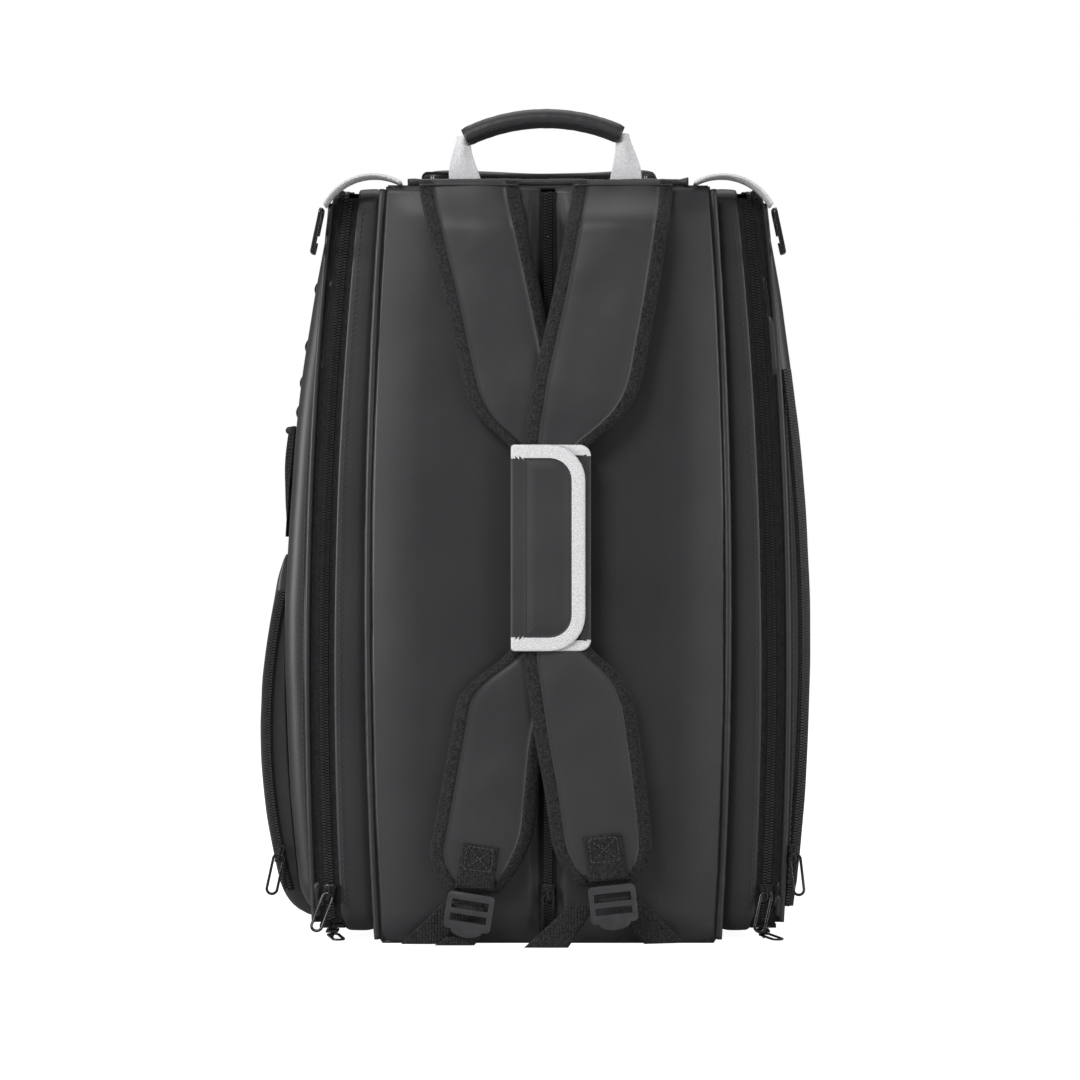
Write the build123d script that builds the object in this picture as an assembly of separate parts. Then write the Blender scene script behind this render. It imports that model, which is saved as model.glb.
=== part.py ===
from build123d import *
import copy
import math
import os

# Racket tournament bag: a main compartment between two racket compartments.
# Millimetres. +Z up, -Y is the shoulder strap side, origin on the resting face.

# ---------------------------------------------------------------- driving sizes
bag_height = 540.0
bag_depth = 300.0
drawn_height = 540.0
stretch_from = 100.0
wall = 3.0
gap = 0.4

main_low_half = 119.0
main_top_half = 115.0
main_bulge = 9.0
flap_clear = 2.0

side_low = 9.0
side_top_drop = 4.0
side_set_back = 20.0
side_low_step = 23.0
side_low_at = 40.0
side_top_step = 11.5
side_top_below = 10.0
side_bulge = 20.6
side_low_corner = 35.0
side_top_corner = 12.0
side_edge_round = 9.0

zip_low_step = 38.0
zip_low_at = 37.0
zip_top_step = 28.5
zip_bulge = 9.5
tape_width = 10.0
tape_thick = 0.8
coil_width = 3.0
coil_height = 1.6
piping_radius = 2.2
outer_piping_clear = 2.0

slider_width = 9.0
slider_length = 13.0
slider_plate = 1.6
pull_length = 31.0
pull_width = 9.5
pull_thick = 1.4
pull_bar = 2.0
bridge_height = 4.2
bridge_bar = 0.8
bridge_half = 0.8
slider_low_z = 34.0
under_slider_in = 8.0
main_slider_z = 36.0

strap_thick = 9.0
strap_clear = 13.0
strap_pivot_drop = 3.0
webbing_thick = 1.6

handle_back = 30.0
grip_radius = 7.0
grip_left = (-60.0, 38.0)
grip_right = (53.0, 40.0)
grip_peak = (-4.0, 51.8)
handle_foot = 1.0
leg_width = 24.0
leg_thick = 2.4

top_pocket_half = 87.0
top_pocket_shift = -6.0
top_pocket_front_in = 70.0
top_pocket_back_in = 40.0
top_pocket_height = 21.0
top_pocket_lid = 8.0
top_pocket_round = 18.0
top_slider_in = 30.0

mesh_thick = 1.2
mesh_front_in = 30.0
mesh_back_in = 80.0
loop_heights = (475.0, 432.0, 405.0, 383.0)
loop_half = 9.0
loop_rise = 6.0
loop_front_in = 70.0
loop_width = 25.0

pocket_zip_step = 5.5
pocket_zip_low = 23.0
pocket_zip_top = 410.0
pocket_zip_half = 3.0
narrow_slider = 5.4
pocket_slider_z = 62.0

board_thick = 2.0
hook_inner_step = (-11.0, 1.0)
hook_peak_step = (-10.5, 5.5)
hook_outer_step = (5.0, -15.0)
lock_width = 33.0
lock_thick = 4.0
flap_thick = 2.4
wrap_corner = 25.0
wrap_from = 209.5
wrap_to = 354.0
wrap_half = 26.0

hook_width = 20.0
hook_length = 33.0
hook_lean = 12.0

side_pocket_low = 12.0
side_pocket_to = 277.0
side_pocket_out = 20.0
side_pocket_foot = 11.0
side_pocket_brow = 3.0
side_pocket_zip_step = 6.0
side_pocket_zip_drop = 60.0
side_pocket_slider_z = 60.0
side_pocket_front_in = 18.0
side_pocket_back_in = 44.0
mesh_from = 290.0
mesh_to = 368.0
mesh_out = 9.0


# ------------------------------------------------------------------ worked out
def rise(z):
    """A height as drawn, moved with the top of the bag once it is above the straps' foot."""
    if z <= stretch_from:
        return z
    return stretch_from + (z - stretch_from) * (bag_height - stretch_from) / (
        drawn_height - stretch_from)


def up(points):
    return [(x, rise(z)) for x, z in points]


front = -bag_depth / 2
back = bag_depth / 2
side_front = front + side_set_back
side_back = back - side_set_back / 2
side_top = bag_height - side_top_drop
strap_rear = front - strap_clear
strap_pivot_y = front - strap_clear / 2
strap_pivot_z = bag_height - strap_pivot_drop
handle_y = front + handle_back
side_top_at = bag_height - side_top_below
zip_low_half = main_low_half + zip_low_step
zip_top_half = main_top_half + zip_top_step
side_low_half = zip_low_half + side_low_step
side_top_half = zip_top_half + side_top_step
under_slider_y = side_front + under_slider_in
outer_piping_step = tape_width + outer_piping_clear
grip_ends = [(x, bag_height + z) for x, z in (grip_left, grip_right)]
grip_top = (grip_peak[0], bag_height + grip_peak[1])
hook_inner = (main_top_half + hook_inner_step[0], bag_height + hook_inner_step[1])
hook_peak = (zip_top_half + hook_peak_step[0], bag_height + hook_peak_step[1])
hook_outer = (side_top_half + hook_outer_step[0], bag_height + hook_outer_step[1])
wrap_low = rise(wrap_from)
wrap_top = rise(wrap_to)
top_pocket_front = front + top_pocket_front_in
top_pocket_back = back - top_pocket_back_in
mesh_front = side_front + mesh_front_in
mesh_back = side_back - mesh_back_in
mesh_low = rise(mesh_from)
mesh_top = rise(mesh_to)
loop_front = side_front + loop_front_in
loop_back = loop_front + loop_width
side_pocket_front = side_front + side_pocket_front_in
side_pocket_back = side_back - side_pocket_back_in
side_pocket_top = rise(side_pocket_to)
pull_eye = -gap - slider_plate - (bridge_height - bridge_bar) / 2


class Curve:
    """A vertical seam seen from the strap side: an arc bulging outwards."""

    def __init__(self, low_x, low_z, top_x, top_z, bulge):
        middle = ((low_x + top_x) / 2, (low_z + top_z) / 2)
        chord = math.hypot(top_x - low_x, top_z - low_z)
        self.radius = (chord * chord / 4 + bulge * bulge) / (2 * bulge)
        out = ((top_z - low_z) / chord, (low_x - top_x) / chord)
        self.centre_x = middle[0] - out[0] * (self.radius - bulge)
        self.centre_z = middle[1] - out[1] * (self.radius - bulge)

    def __call__(self, z):
        return self.centre_x + math.sqrt(self.radius**2 - (z - self.centre_z) ** 2)

    def lean(self, z):
        """Angle of the seam from upright at this height, in degrees."""
        return math.degrees(math.asin((z - self.centre_z) / self.radius))

    def shifted(self, step):
        """The same seam moved sideways."""
        other = copy.copy(self)
        other.centre_x += step
        return other


main_seam = Curve(main_low_half, 0, main_top_half, bag_height, main_bulge)
side_seam = Curve(side_low_half, side_low_at, side_top_half, side_top_at, side_bulge)
zip_seam = Curve(zip_low_half, zip_low_at, zip_top_half, side_top_at, zip_bulge)
side_hinge_x = min(zip_seam(side_low), zip_seam(side_top)) - gap
main_hinge_x = min(main_seam(0), main_seam(bag_height)) - wall - flap_clear


def straight(x):
    return lambda z: x


def seam_edge(side, y, low, top):
    """The edge of an outline from height low to height top."""
    middle = (low + top) / 2
    points = [Vector(side(z), y, z) for z in (low, middle, top)]
    sag = abs(points[1].X - (points[0].X + points[2].X) / 2)
    if sag < 1e-6:
        return Line(points[0], points[2])
    return ThreePointArc(*points)


def outline(inner, outer, low, top, y):
    edges = [
        seam_edge(inner, y, low, top),
        Line((inner(top), y, top), (outer(top), y, top)),
        seam_edge(outer, y, low, top),
        Line((outer(low), y, low), (inner(low), y, low)),
    ]
    return make_face(edges)


def band(inner, outer, low, top, y0, y1):
    """A solid between two seams, from one depth to another."""
    return extrude(outline(inner, outer, low, top, y0), amount=y1 - y0, dir=(0, 1, 0))


def block(x0, x1, y0, y1, z0, z1):
    return Pos((x0 + x1) / 2, (y0 + y1) / 2, (z0 + z1) / 2) * Box(x1 - x0, y1 - y0, z1 - z0)


def plate(points, y0, y1):
    """A flat piece with this outline, facing the strap side."""
    face = make_face(Polyline(*[(x, y0, z) for x, z in points], close=True))
    return extrude(face, amount=y1 - y0, dir=(0, 1, 0))


def rod_on(side, y, low, top, radius):
    """A round piping along a seam."""
    path = seam_edge(side, y, low, top)
    return sweep(Plane(path @ 0, z_dir=path % 0) * Circle(radius), path=path)


def flip(shape):
    return mirror(shape, about=Plane.YZ)


nodes = {}


def keep(name, shape):
    nodes[name] = shape


# ------------------------------------------------------------ main compartment
def make_main():
    inner_seam = main_seam.shifted(-wall)
    divider = band(inner_seam, main_seam, 0, bag_height, front, back)
    keep("right_divider", divider)
    keep("left_divider", flip(divider))
    inside = main_seam.shifted(-wall - gap / 2)

    def across(z):
        return -inside(z)

    keep("far_panel", band(across, inside, wall + gap, bag_height - wall - gap, back - wall, back))
    keep("top_panel", band(across, inside, bag_height - wall, bag_height, front, back))
    keep("base_panel", band(across, inside, 0, wall, front, back))
    board_half = main_low_half - wall - 4
    keep("base_board", block(-board_half, board_half, front + 12, back - wall - 2,
                             wall, wall + board_thick))
    tube = rod_on(main_seam.shifted(piping_radius + gap / 2), front + piping_radius,
                  2, bag_height - 2, piping_radius)
    keep("main_piping", tube + flip(tube))


def make_main_flaps():
    """The two halves of the strap-side panel, either side of the centre zip."""
    low = wall + board_thick + 1
    top = bag_height - wall - flap_clear
    edge = main_seam.shifted(-wall - flap_clear)
    half_tape = tape_width - 2
    panel = band(straight(half_tape), edge, low, top, front, front + wall)
    tape = block(gap / 2, half_tape, front, front + tape_thick, low, top)
    coil = block(gap / 2, gap / 2 + coil_width, front - coil_height, front, low, top)
    keep("main_right_panel", panel)
    keep("main_left_panel", flip(panel))
    keep("main_right_tape", tape + coil)
    keep("main_left_tape", flip(tape + coil))


# ---------------------------------------------------------- racket compartments
def side_block(inner, shrink):
    """The rounded block of a racket compartment, shrunk by a wall if asked."""
    low = side_low + shrink
    top = side_top - shrink
    y0 = side_front + shrink
    y1 = side_back - shrink
    face = outline(inner, side_seam.shifted(-shrink), low, top, y0)
    low_corner = max(face.vertices(), key=lambda v: v.X - v.Z)
    face = fillet(low_corner, side_low_corner - shrink)
    top_corner = max(face.vertices(), key=lambda v: v.X + v.Z)
    face = fillet(top_corner, side_top_corner - shrink)
    solid = extrude(face, amount=y1 - y0, dir=(0, 1, 0))
    outer_edges = [e for e in solid.edges()
                   if abs(e.center().Y - y0) < 0.1 or abs(e.center().Y - y1) < 0.1]
    outer_edges = [e for e in outer_edges if e.center().X > side_hinge_x + 8]
    return fillet(outer_edges, side_edge_round - shrink)


def make_sides():
    seat = main_seam.shifted(gap)
    whole = side_block(seat, 0)
    hollow = side_block(main_seam.shifted(-10), wall)
    shell = whole - hollow
    inner_side = band(straight(0), zip_seam.shifted(gap), -20, side_top + 20, -200, 200)
    outer_side = band(zip_seam.shifted(-gap), straight(400), -20, side_top + 20, -200, 200)
    door = shell - inner_side
    gusset = shell - outer_side
    keep("right_outer_shell", door)
    keep("left_outer_shell", flip(door))
    keep("right_gusset", gusset)
    keep("left_gusset", flip(gusset))

    low = side_low + 3
    top = side_top - 3
    inner_half = zip_half(zip_seam, -1, low, top, side_front) + zip_runs(-1)
    outer_half = zip_half(zip_seam, 1, low, top - side_top_corner, side_front) + zip_runs(1)
    keep("right_zip_inner", inner_half)
    keep("left_zip_inner", flip(inner_half))
    keep("right_zip_outer", outer_half)
    keep("left_zip_outer", flip(outer_half))
    tube = rod_on(zip_seam.shifted(outer_piping_step), side_front - piping_radius,
                  side_low + side_low_corner, side_top - 2 * side_top_corner, piping_radius)
    keep("right_outer_piping", tube)
    keep("left_outer_piping", flip(tube))


def zip_half(seam, way, low, top, face_y):
    """Tape and teeth on one side of a seam: way is -1 inboard and 1 outboard."""
    teeth = sorted((way * gap, way * (gap + coil_width)))
    tape = sorted((way * gap, way * tape_width))
    flat = band(seam.shifted(tape[0]), seam.shifted(tape[1]), low, top,
                face_y - tape_thick, face_y)
    row = band(seam.shifted(teeth[0]), seam.shifted(teeth[1]), low, top,
               face_y - tape_thick - coil_height, face_y - tape_thick)
    return flat + row


def zip_runs(way):
    """The straight stretches under the base and over the top of a compartment."""
    y0 = side_front + side_edge_round
    y1 = side_back - side_edge_round
    pieces = []
    for face_z, out in ((side_low, -1), (side_top, 1)):
        x = zip_seam(face_z)
        teeth = sorted((x + way * gap, x + way * (gap + coil_width)))
        tape = sorted((x + way * gap, x + way * tape_width * 0.8))
        tape_z = face_z + out * tape_thick
        tooth_z = tape_z + out * coil_height
        flat = block(*tape, y0, y1, *sorted((face_z, tape_z)))
        pieces.append(flat + block(*teeth, y0, y1, *sorted((tape_z, tooth_z))))
    return pieces


# ------------------------------------------------------------- sliders and pulls
def slider(width=slider_width):
    """A slider lying over the teeth: track along Z, teeth's top at y 0."""
    y0 = -gap - slider_plate
    body = block(-width / 2, width / 2, y0, -gap, -slider_length / 2, slider_length / 2)
    arch = block(-bridge_half, bridge_half, y0 - bridge_height, y0, -4.5, 4.5)
    return body + (arch - block(-2, 2, y0 - bridge_height + bridge_bar, y0, -3, 3))


def pull(drop, spread):
    """A flat pull hanging from the arch: drop tips it outwards, spread sideways."""
    ring = SlotOverall(pull_length, pull_width)
    ring -= SlotOverall(pull_length - 2 * pull_bar, pull_width - 2 * pull_bar)
    flat = extrude(Plane.XZ * Rot(0, 0, 90) * ring, amount=pull_thick / 2, both=True)
    hang = Pos(0, 0, (pull_bar - pull_length) / 2) * flat
    return Pos(0, pull_eye, 0) * Rot(-drop, 0, 0) * Rot(0, spread, 0) * hang


def make_sliders():
    tooth_y = side_front - tape_thick - coil_height
    x = zip_seam(slider_low_z)
    place = Pos(x, tooth_y, slider_low_z) * Rot(0, zip_seam.lean(slider_low_z), 0)
    keep("right_slider", place * slider())
    keep("left_slider", flip(place * slider()))
    keep("right_pull", place * pull(24, 16))
    keep("left_pull", flip(place * pull(24, -16)))

    x = zip_seam(side_low)
    place = Pos(x, under_slider_y, side_low - tape_thick - coil_height) * Rot(90, 0, 0)
    place *= Rot(0, 180, 0)
    keep("right_under_slider", place * slider())
    keep("left_under_slider", flip(place * slider()))
    keep("right_under_pull", place * pull(0, 18))
    keep("left_under_pull", flip(place * pull(0, -14)))

    place = Pos(0, front - coil_height, main_slider_z)
    keep("main_slider", place * slider())
    keep("main_pull", place * pull(0, 0))


# ----------------------------------------------------------- pockets on the sides
def make_right_pocket():
    """A long flat pocket behind a zip in the right outer shell."""
    line = side_seam.shifted(-pocket_zip_step)
    top = rise(pocket_zip_top)
    flat = band(line.shifted(-pocket_zip_half), line.shifted(pocket_zip_half),
                pocket_zip_low, top, side_front - tape_thick, side_front)
    row = band(line.shifted(-1), line.shifted(1), pocket_zip_low, top,
               side_front - tape_thick - coil_height, side_front - tape_thick)
    keep("right_pocket_zip", flat + row)
    place = Pos(line(pocket_slider_z), side_front - tape_thick - coil_height, pocket_slider_z)
    place *= Rot(0, line.lean(pocket_slider_z), 0)
    keep("right_pocket_slider", place * slider(narrow_slider))
    keep("right_pocket_pull", place * pull(8, 0))


def shell_on_side(outer, inner, low, top, y0, y1, thick, rounding):
    """A bulging pocket over a side, open towards that side."""
    solid = band(inner, outer, low, top, y0, y1)
    rims = [e for e in solid.edges() if e.center().X > (outer(low) + outer(top)) / 2 + 1]
    solid = fillet([e for e in rims if abs(e.center().Z - (low + top) / 2) < 1], rounding)
    hollow = band(inner.shifted(-20), outer.shifted(-thick), low + thick, top - thick,
                  y0 + thick, y1 - thick)
    return solid - hollow


def make_left_pockets():
    """Zipped pocket, mesh pocket and four webbing loops on the left side."""
    seat = side_seam.shifted(2 * gap)
    low_x = side_seam(side_pocket_low) + side_pocket_foot
    top_x = side_seam(side_pocket_top) + side_pocket_brow
    bulge = Curve(low_x, side_pocket_low, top_x, side_pocket_top, side_pocket_out)
    shell = shell_on_side(bulge, seat, side_pocket_low, side_pocket_top,
                          side_pocket_front, side_pocket_back, wall, wall + 1)
    keep("side_pocket_shell", flip(shell))
    line = bulge.shifted(-side_pocket_zip_step)
    low = side_pocket_low + 2
    top = side_pocket_top - side_pocket_zip_drop
    flat = band(line.shifted(-pocket_zip_half), line.shifted(pocket_zip_half), low, top,
                side_pocket_front - tape_thick, side_pocket_front)
    row = band(line.shifted(-1), line.shifted(1), low, top,
               side_pocket_front - tape_thick - coil_height, side_pocket_front - tape_thick)
    keep("side_pocket_zip", flip(flat + row))
    z = side_pocket_slider_z
    place = Pos(line(z), side_pocket_front - tape_thick - coil_height, z)
    place *= Rot(0, line.lean(z), 0)
    keep("side_pocket_slider", flip(place * slider(narrow_slider)))
    keep("side_pocket_pull", flip(place * pull(8, 0)))

    seat = side_seam.shifted(gap)
    low_x = seat(mesh_low) + 2
    top_x = seat(mesh_top) + mesh_out
    net = Curve(low_x, mesh_low, top_x, mesh_top, 3.0)
    solid = band(seat, net, mesh_low, mesh_top, mesh_front, mesh_back)
    room = band(seat.shifted(-5), net.shifted(-mesh_thick), mesh_low + 2, mesh_top + 5,
                mesh_front + 2, mesh_back - 2)
    keep("mesh_pocket", flip(solid - room))

    loops = []
    for z in loop_heights:
        low = rise(z - loop_half)
        top = rise(z + loop_half)
        outer = Curve(seat(low) + mesh_thick, low, seat(top) + mesh_thick, top, loop_rise)
        wide = band(seat, outer, low, top, loop_front, loop_back)
        room = band(seat.shifted(-5), outer.shifted(-mesh_thick), low + 2, top - 2,
                    loop_front - 1, loop_back + 1)
        loops.append(flip(wide - room))
    keep("side_loops", loops[0] + loops[1:])


# ------------------------------------------------------------------ top of the bag
def make_top_pocket():
    x = top_pocket_half
    z0 = bag_height + gap
    z1 = bag_height + top_pocket_height - top_pocket_lid
    z2 = bag_height + top_pocket_height

    def ring(inset, low, top):
        centre = Pos(top_pocket_shift, (top_pocket_front + top_pocket_back) / 2, low)
        width = 2 * (x - inset)
        depth = top_pocket_back - top_pocket_front - 2 * inset
        shape = RectangleRounded(width, depth, top_pocket_round - inset)
        return extrude(centre * shape, amount=top - low)

    keep("top_pocket_wall", ring(0, z0, z1) - ring(wall, z0 + 1, z1 + 1))
    lid = ring(0, z1 + gap, z2) - ring(wall, z1, z2 - wall)
    keep("top_pocket_lid", lid)
    slider_x = top_pocket_shift - x + top_slider_in
    place = Pos(slider_x, top_pocket_front - gap, z1 + gap / 2) * Rot(0, 90, 0)
    keep("top_pocket_slider", place * slider(8))
    keep("top_pocket_pull", place * pull(8, 0))


def make_handle():
    """White webbing legs with a padded grip between them."""
    path = ThreePointArc(*[(x, handle_y, z) for x, z in (grip_ends[0], grip_top, grip_ends[1])])
    grip = sweep(Plane(path @ 0, z_dir=path % 0) * Circle(grip_radius), path=path)
    keep("handle_grip", grip)
    legs = []
    foot_z = bag_height + handle_foot
    for (x, z), side in zip(grip_ends, (-1, 1)):
        top_z = z - grip_radius - gap
        outline_points = [
            (x + side * leg_width * 0.45, foot_z),
            (x - side * leg_width * 0.55, foot_z),
            (x - side * leg_width * 0.25, top_z),
            (x + side * leg_width * 0.25, top_z),
        ]
        legs.append(plate(outline_points, handle_y - leg_thick / 2, handle_y + leg_thick / 2))
    keep("handle_webbing", legs[0] + legs[1])


def make_hook_straps():
    """Webbing over each top corner with a flat metal hook hanging from it."""
    y0 = side_front - tape_thick - coil_height - 0.8 - leg_width
    y1 = y0 + leg_width
    path = ThreePointArc((hook_inner[0], 0, hook_inner[1]), (hook_peak[0], 0, hook_peak[1]),
                         (hook_outer[0], 0, hook_outer[1]))
    outer = offset_strip(path, webbing_thick)
    strap = Pos(0, y0, 0) * extrude(outer, amount=y1 - y0, dir=(0, 1, 0))
    keep("hook_straps", strap + flip(strap))
    frame_face = Plane.YZ * (RectangleRounded(hook_width, hook_length, 4)
                             - Pos(0, hook_length / 2 - 5) * Rectangle(hook_width - 6, 3.4)
                             - Pos(2.5, -3) * Rectangle(hook_width - 9, 15)
                             - Pos(hook_width / 2, -5) * Rectangle(10, 5))
    hook = extrude(frame_face, amount=1.4, both=True)
    hook = Pos(0, 0, -hook_length / 2) * hook
    place = Pos(hook_outer[0] + 1.0, (y0 + y1) / 2, hook_outer[1] - 1.4) * Rot(0, -hook_lean, 0)
    keep("right_hook", place * hook)
    keep("left_hook", flip(place * hook))


def offset_strip(path, thick):
    """A thin strip drawn between an arc and the same arc moved up by its thickness."""
    lift = Vector(0, 0, thick)
    spots = [path @ 0, path @ 0.5, path @ 1]
    upper = [spot + lift for spot in spots]
    return make_face([
        ThreePointArc(*spots),
        Line(spots[2], upper[2]),
        ThreePointArc(*upper),
        Line(upper[0], spots[0]),
    ])


# ---------------------------------------------------------------- shoulder straps
left_strap_outline = up([
    (-92, 536), (-73, 458), (-57.5, 387), (-43, 366), (-22, 357), (-22, 280), (-22, 206),
    (-29, 206), (-63, 181), (-74.5, 117), (-83, 71), (-85, 62), (-71, 41), (-36, 38),
    (-23, 50), (-10, 78), (-4, 145), (8, 200), (14, 215), (14, 350), (8, 400), (-4, 458),
    (-21, 536),
])
right_strap_outline = up([
    (18, 536), (3, 458), (-10, 401), (-17, 354), (-18, 280), (-18, 208), (-8.5, 142),
    (-3.5, 117), (3.5, 67), (17, 48), (27, 44), (62, 48), (71.5, 60), (73.6, 71), (69, 117),
    (61, 174), (49, 197), (28, 210), (22, 230), (22, 350), (48, 369), (60, 383), (66, 398),
    (77, 458), (89, 536),
])
left_y = strap_rear
right_y = strap_rear - strap_thick - gap


def lock_shape():
    """A ladder lock: two windows either side of a middle bar, with a lifting lobe."""
    outer = Pos(0, -13) * RectangleRounded(lock_width, 26, 3) + Pos(0, -26) * Ellipse(11, 5)
    windows = Pos(0, -8.2) * Rectangle(lock_width - 7, 6) + Pos(0, -17.6) * Rectangle(
        lock_width - 7, 5)
    return extrude(Plane.XZ * (outer - windows), amount=lock_thick)


def make_straps():
    left = plate(left_strap_outline, left_y - strap_thick, left_y)
    right = plate(right_strap_outline, right_y - strap_thick, right_y)
    keep("left_shoulder_strap", left)
    keep("right_shoulder_strap", right)
    roll = Pos(0, front + 3, bag_height + 2.8) * Rot(0, 90, 0)
    binding = [roll * Cylinder(2.6, 2 * (hook_inner[0] - 4))]
    for x0, x1 in ((-92, -21), (18, 89)):
        binding.append(block(x0, x1, front - strap_clear + 1, front,
                             bag_height - 1.5, bag_height + 0.1))
    keep("top_binding", binding[0] + binding[1:])

    sleeve_front = right_y - strap_thick - gap
    sleeve_back = strap_rear + gap
    sleeve = block(-wrap_half, wrap_half, sleeve_back, sleeve_back + 2, wrap_low, wrap_top)
    sleeve += block(-wrap_half, -wrap_half + 1.6, sleeve_front - 1.6, sleeve_back,
                    wrap_low, wrap_top)
    sleeve += block(-wrap_half, wrap_half + 4, sleeve_front - 1.6, sleeve_front,
                    wrap_low, wrap_top)
    keep("wrap_sleeve", sleeve)
    flap_y = sleeve_front - 1.6 - gap
    flap = Pos(0, flap_y, (wrap_low + wrap_top) / 2) * Rot(90, 0, 0) * Rectangle(
        2 * wrap_half, wrap_top - wrap_low)
    corners = sorted(flap.vertices(), key=lambda v: v.X)[2:]
    flap = extrude(fillet(corners, wrap_corner), amount=flap_thick, dir=(0, -1, 0))
    keep("wrap_flap", flap)

    tab_left = [(-59.6, 74.9), (-34.4, 71), (-38.3, 41), (-65.7, 43)]
    tab_right = [(24.1, 79.5), (51, 82.4), (56.8, 50.4), (28.4, 47.6)]
    tabs = plate(tab_left, left_y - strap_thick - webbing_thick, left_y - strap_thick)
    tabs += plate(tab_right, right_y - strap_thick - webbing_thick, right_y - strap_thick)
    keep("strap_tabs", tabs)
    for name, place in lock_places.items():
        keep(name, place * lock_shape())

    band_y = strap_rear + gap
    keep("left_webbing", plate([(-72, 33), (-43, 30), (-78, 1.5), (-104, 1.5), (-101, 6)],
                               band_y, band_y + webbing_thick))
    keep("right_webbing", plate([(40, 34), (62.5, 37), (96, 6), (92, 1.5), (68, 1.5)],
                                band_y, band_y + webbing_thick))
    tail_y = left_y - strap_thick
    tails = plate([(-80, 2), (-52, 2), (-47, 8), (-72, 8)], tail_y, tail_y + webbing_thick)
    tail_y = right_y - strap_thick
    tails += plate([(30, 34), (14, 1.5), (-14, 1.5), (-21, 5), (18, 30)],
                   tail_y, tail_y + webbing_thick)
    keep("webbing_tails", tails)


lock_places = {
    "left_lock": Pos(-53.4, left_y - strap_thick - webbing_thick - gap, 39) * Rot(0, 9, 0),
    "right_lock": Pos(44, right_y - strap_thick - webbing_thick - gap, 46) * Rot(0, -6, 0),
}


# ------------------------------------------------------------------ run and write
def write():
    os.makedirs("parts", exist_ok=True)
    for name, shape in nodes.items():
        export_step(shape, f"parts/{name}.step")


make_main()
make_main_flaps()
make_sides()
make_sliders()
make_right_pocket()
make_left_pockets()
make_top_pocket()
make_handle()
make_hook_straps()
make_straps()
write()
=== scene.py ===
# %% [markdown]
# # A racket tournament bag
# The bag stands upright, with a main compartment in the middle and a racket compartment on
# each side. This lesson dresses the engineering model: it loads the fixed frame of parts and
# puts a sewn, padded or moulded piece over each of them. The parts themselves never move.

# %% Load the frame of parts
from math import atan2, copysign, cos, hypot, pi, radians, sin, sqrt

import bmesh
import bpy
from mathutils import Matrix, Vector, noise


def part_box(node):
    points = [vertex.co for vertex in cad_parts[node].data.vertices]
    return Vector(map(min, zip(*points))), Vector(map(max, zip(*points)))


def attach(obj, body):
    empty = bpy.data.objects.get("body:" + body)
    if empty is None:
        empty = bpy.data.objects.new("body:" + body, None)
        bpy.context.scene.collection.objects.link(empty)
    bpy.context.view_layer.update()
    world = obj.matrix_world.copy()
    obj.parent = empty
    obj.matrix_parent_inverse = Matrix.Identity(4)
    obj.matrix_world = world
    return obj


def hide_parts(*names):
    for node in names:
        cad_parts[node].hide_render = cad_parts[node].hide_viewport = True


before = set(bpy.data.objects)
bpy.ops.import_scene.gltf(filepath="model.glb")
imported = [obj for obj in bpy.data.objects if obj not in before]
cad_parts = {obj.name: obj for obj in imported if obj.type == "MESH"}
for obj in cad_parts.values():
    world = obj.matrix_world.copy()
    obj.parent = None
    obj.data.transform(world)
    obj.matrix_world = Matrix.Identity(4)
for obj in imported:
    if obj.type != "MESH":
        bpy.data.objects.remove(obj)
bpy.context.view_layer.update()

mm = 0.001

# %% [markdown]
# The camera looks level at the shoulder strap side from about two metres. A long lens keeps
# the tall sides of the bag straight. It comes first, so that each piece can be judged by it.

# %% The camera
def linked(name, data):
    """A new object in the scene."""
    thing = bpy.data.objects.new(name, data)
    bpy.context.scene.collection.objects.link(thing)
    return thing


camera_data = bpy.data.cameras.new("camera")
camera_data.lens = 89
camera_data.sensor_width = 36
camera = linked("camera", camera_data)
front_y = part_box("top_panel")[0].y
bag_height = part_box("top_panel")[1].z
camera.location = (-5.7 * mm, front_y - 1.9, 0.532 * bag_height)
camera.rotation_euler = (radians(90), 0, 0)
bpy.context.scene.camera = camera
print("camera at", tuple(round(c, 3) for c in camera.location))

# %% [markdown]
# A pale floor and large soft lights show the black cloth by its sheen. The lights at the two
# sides rake along the outer panels, which would otherwise be lost against each other.

# %% Floor and lights
white = (1, 1, 1, 1)
floor_mesh = bmesh.new()
bmesh.ops.create_grid(floor_mesh, x_segments=1, y_segments=1, size=9)
floor_data = bpy.data.meshes.new("floor")
floor_mesh.to_mesh(floor_data)
linked("floor", floor_data)
floor_paint = bpy.data.materials.new("floor_paint")
floor_paint.use_nodes = True
floor_data.materials.append(floor_paint)
tree = floor_paint.node_tree
sockets = tree.nodes["Principled BSDF"].inputs
sockets["Base Color"].default_value = (0.5, 0.5, 0.5, 1)
sockets["Roughness"].default_value = 0.9
sockets["Emission Color"].default_value = white
glow = tree.nodes.new("ShaderNodeMath")
glow.operation = "MULTIPLY"
glow.inputs[1].default_value = 0.95
seen = tree.nodes.new("ShaderNodeLightPath")
tree.links.new(seen.outputs["Is Camera Ray"], glow.inputs[0])
tree.links.new(glow.outputs[0], sockets["Emission Strength"])

world = bpy.data.worlds.new("studio")
world.use_nodes = True
tree = world.node_tree
mix = tree.nodes.new("ShaderNodeMixShader")
ray = tree.nodes.new("ShaderNodeLightPath")
tree.links.new(ray.outputs["Is Camera Ray"], mix.inputs[0])
skies = (tree.nodes["Background"], tree.nodes.new("ShaderNodeBackground"))
for place, (sky, strength) in enumerate(zip(skies, (0.16, 1.0)), start=1):
    sky.inputs["Color"].default_value = white
    sky.inputs["Strength"].default_value = strength
    tree.links.new(sky.outputs[0], mix.inputs[place])
tree.links.new(mix.outputs[0], tree.nodes["World Output"].inputs["Surface"])
bpy.context.scene.world = world
bpy.context.scene.view_settings.view_transform = "Standard"


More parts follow.
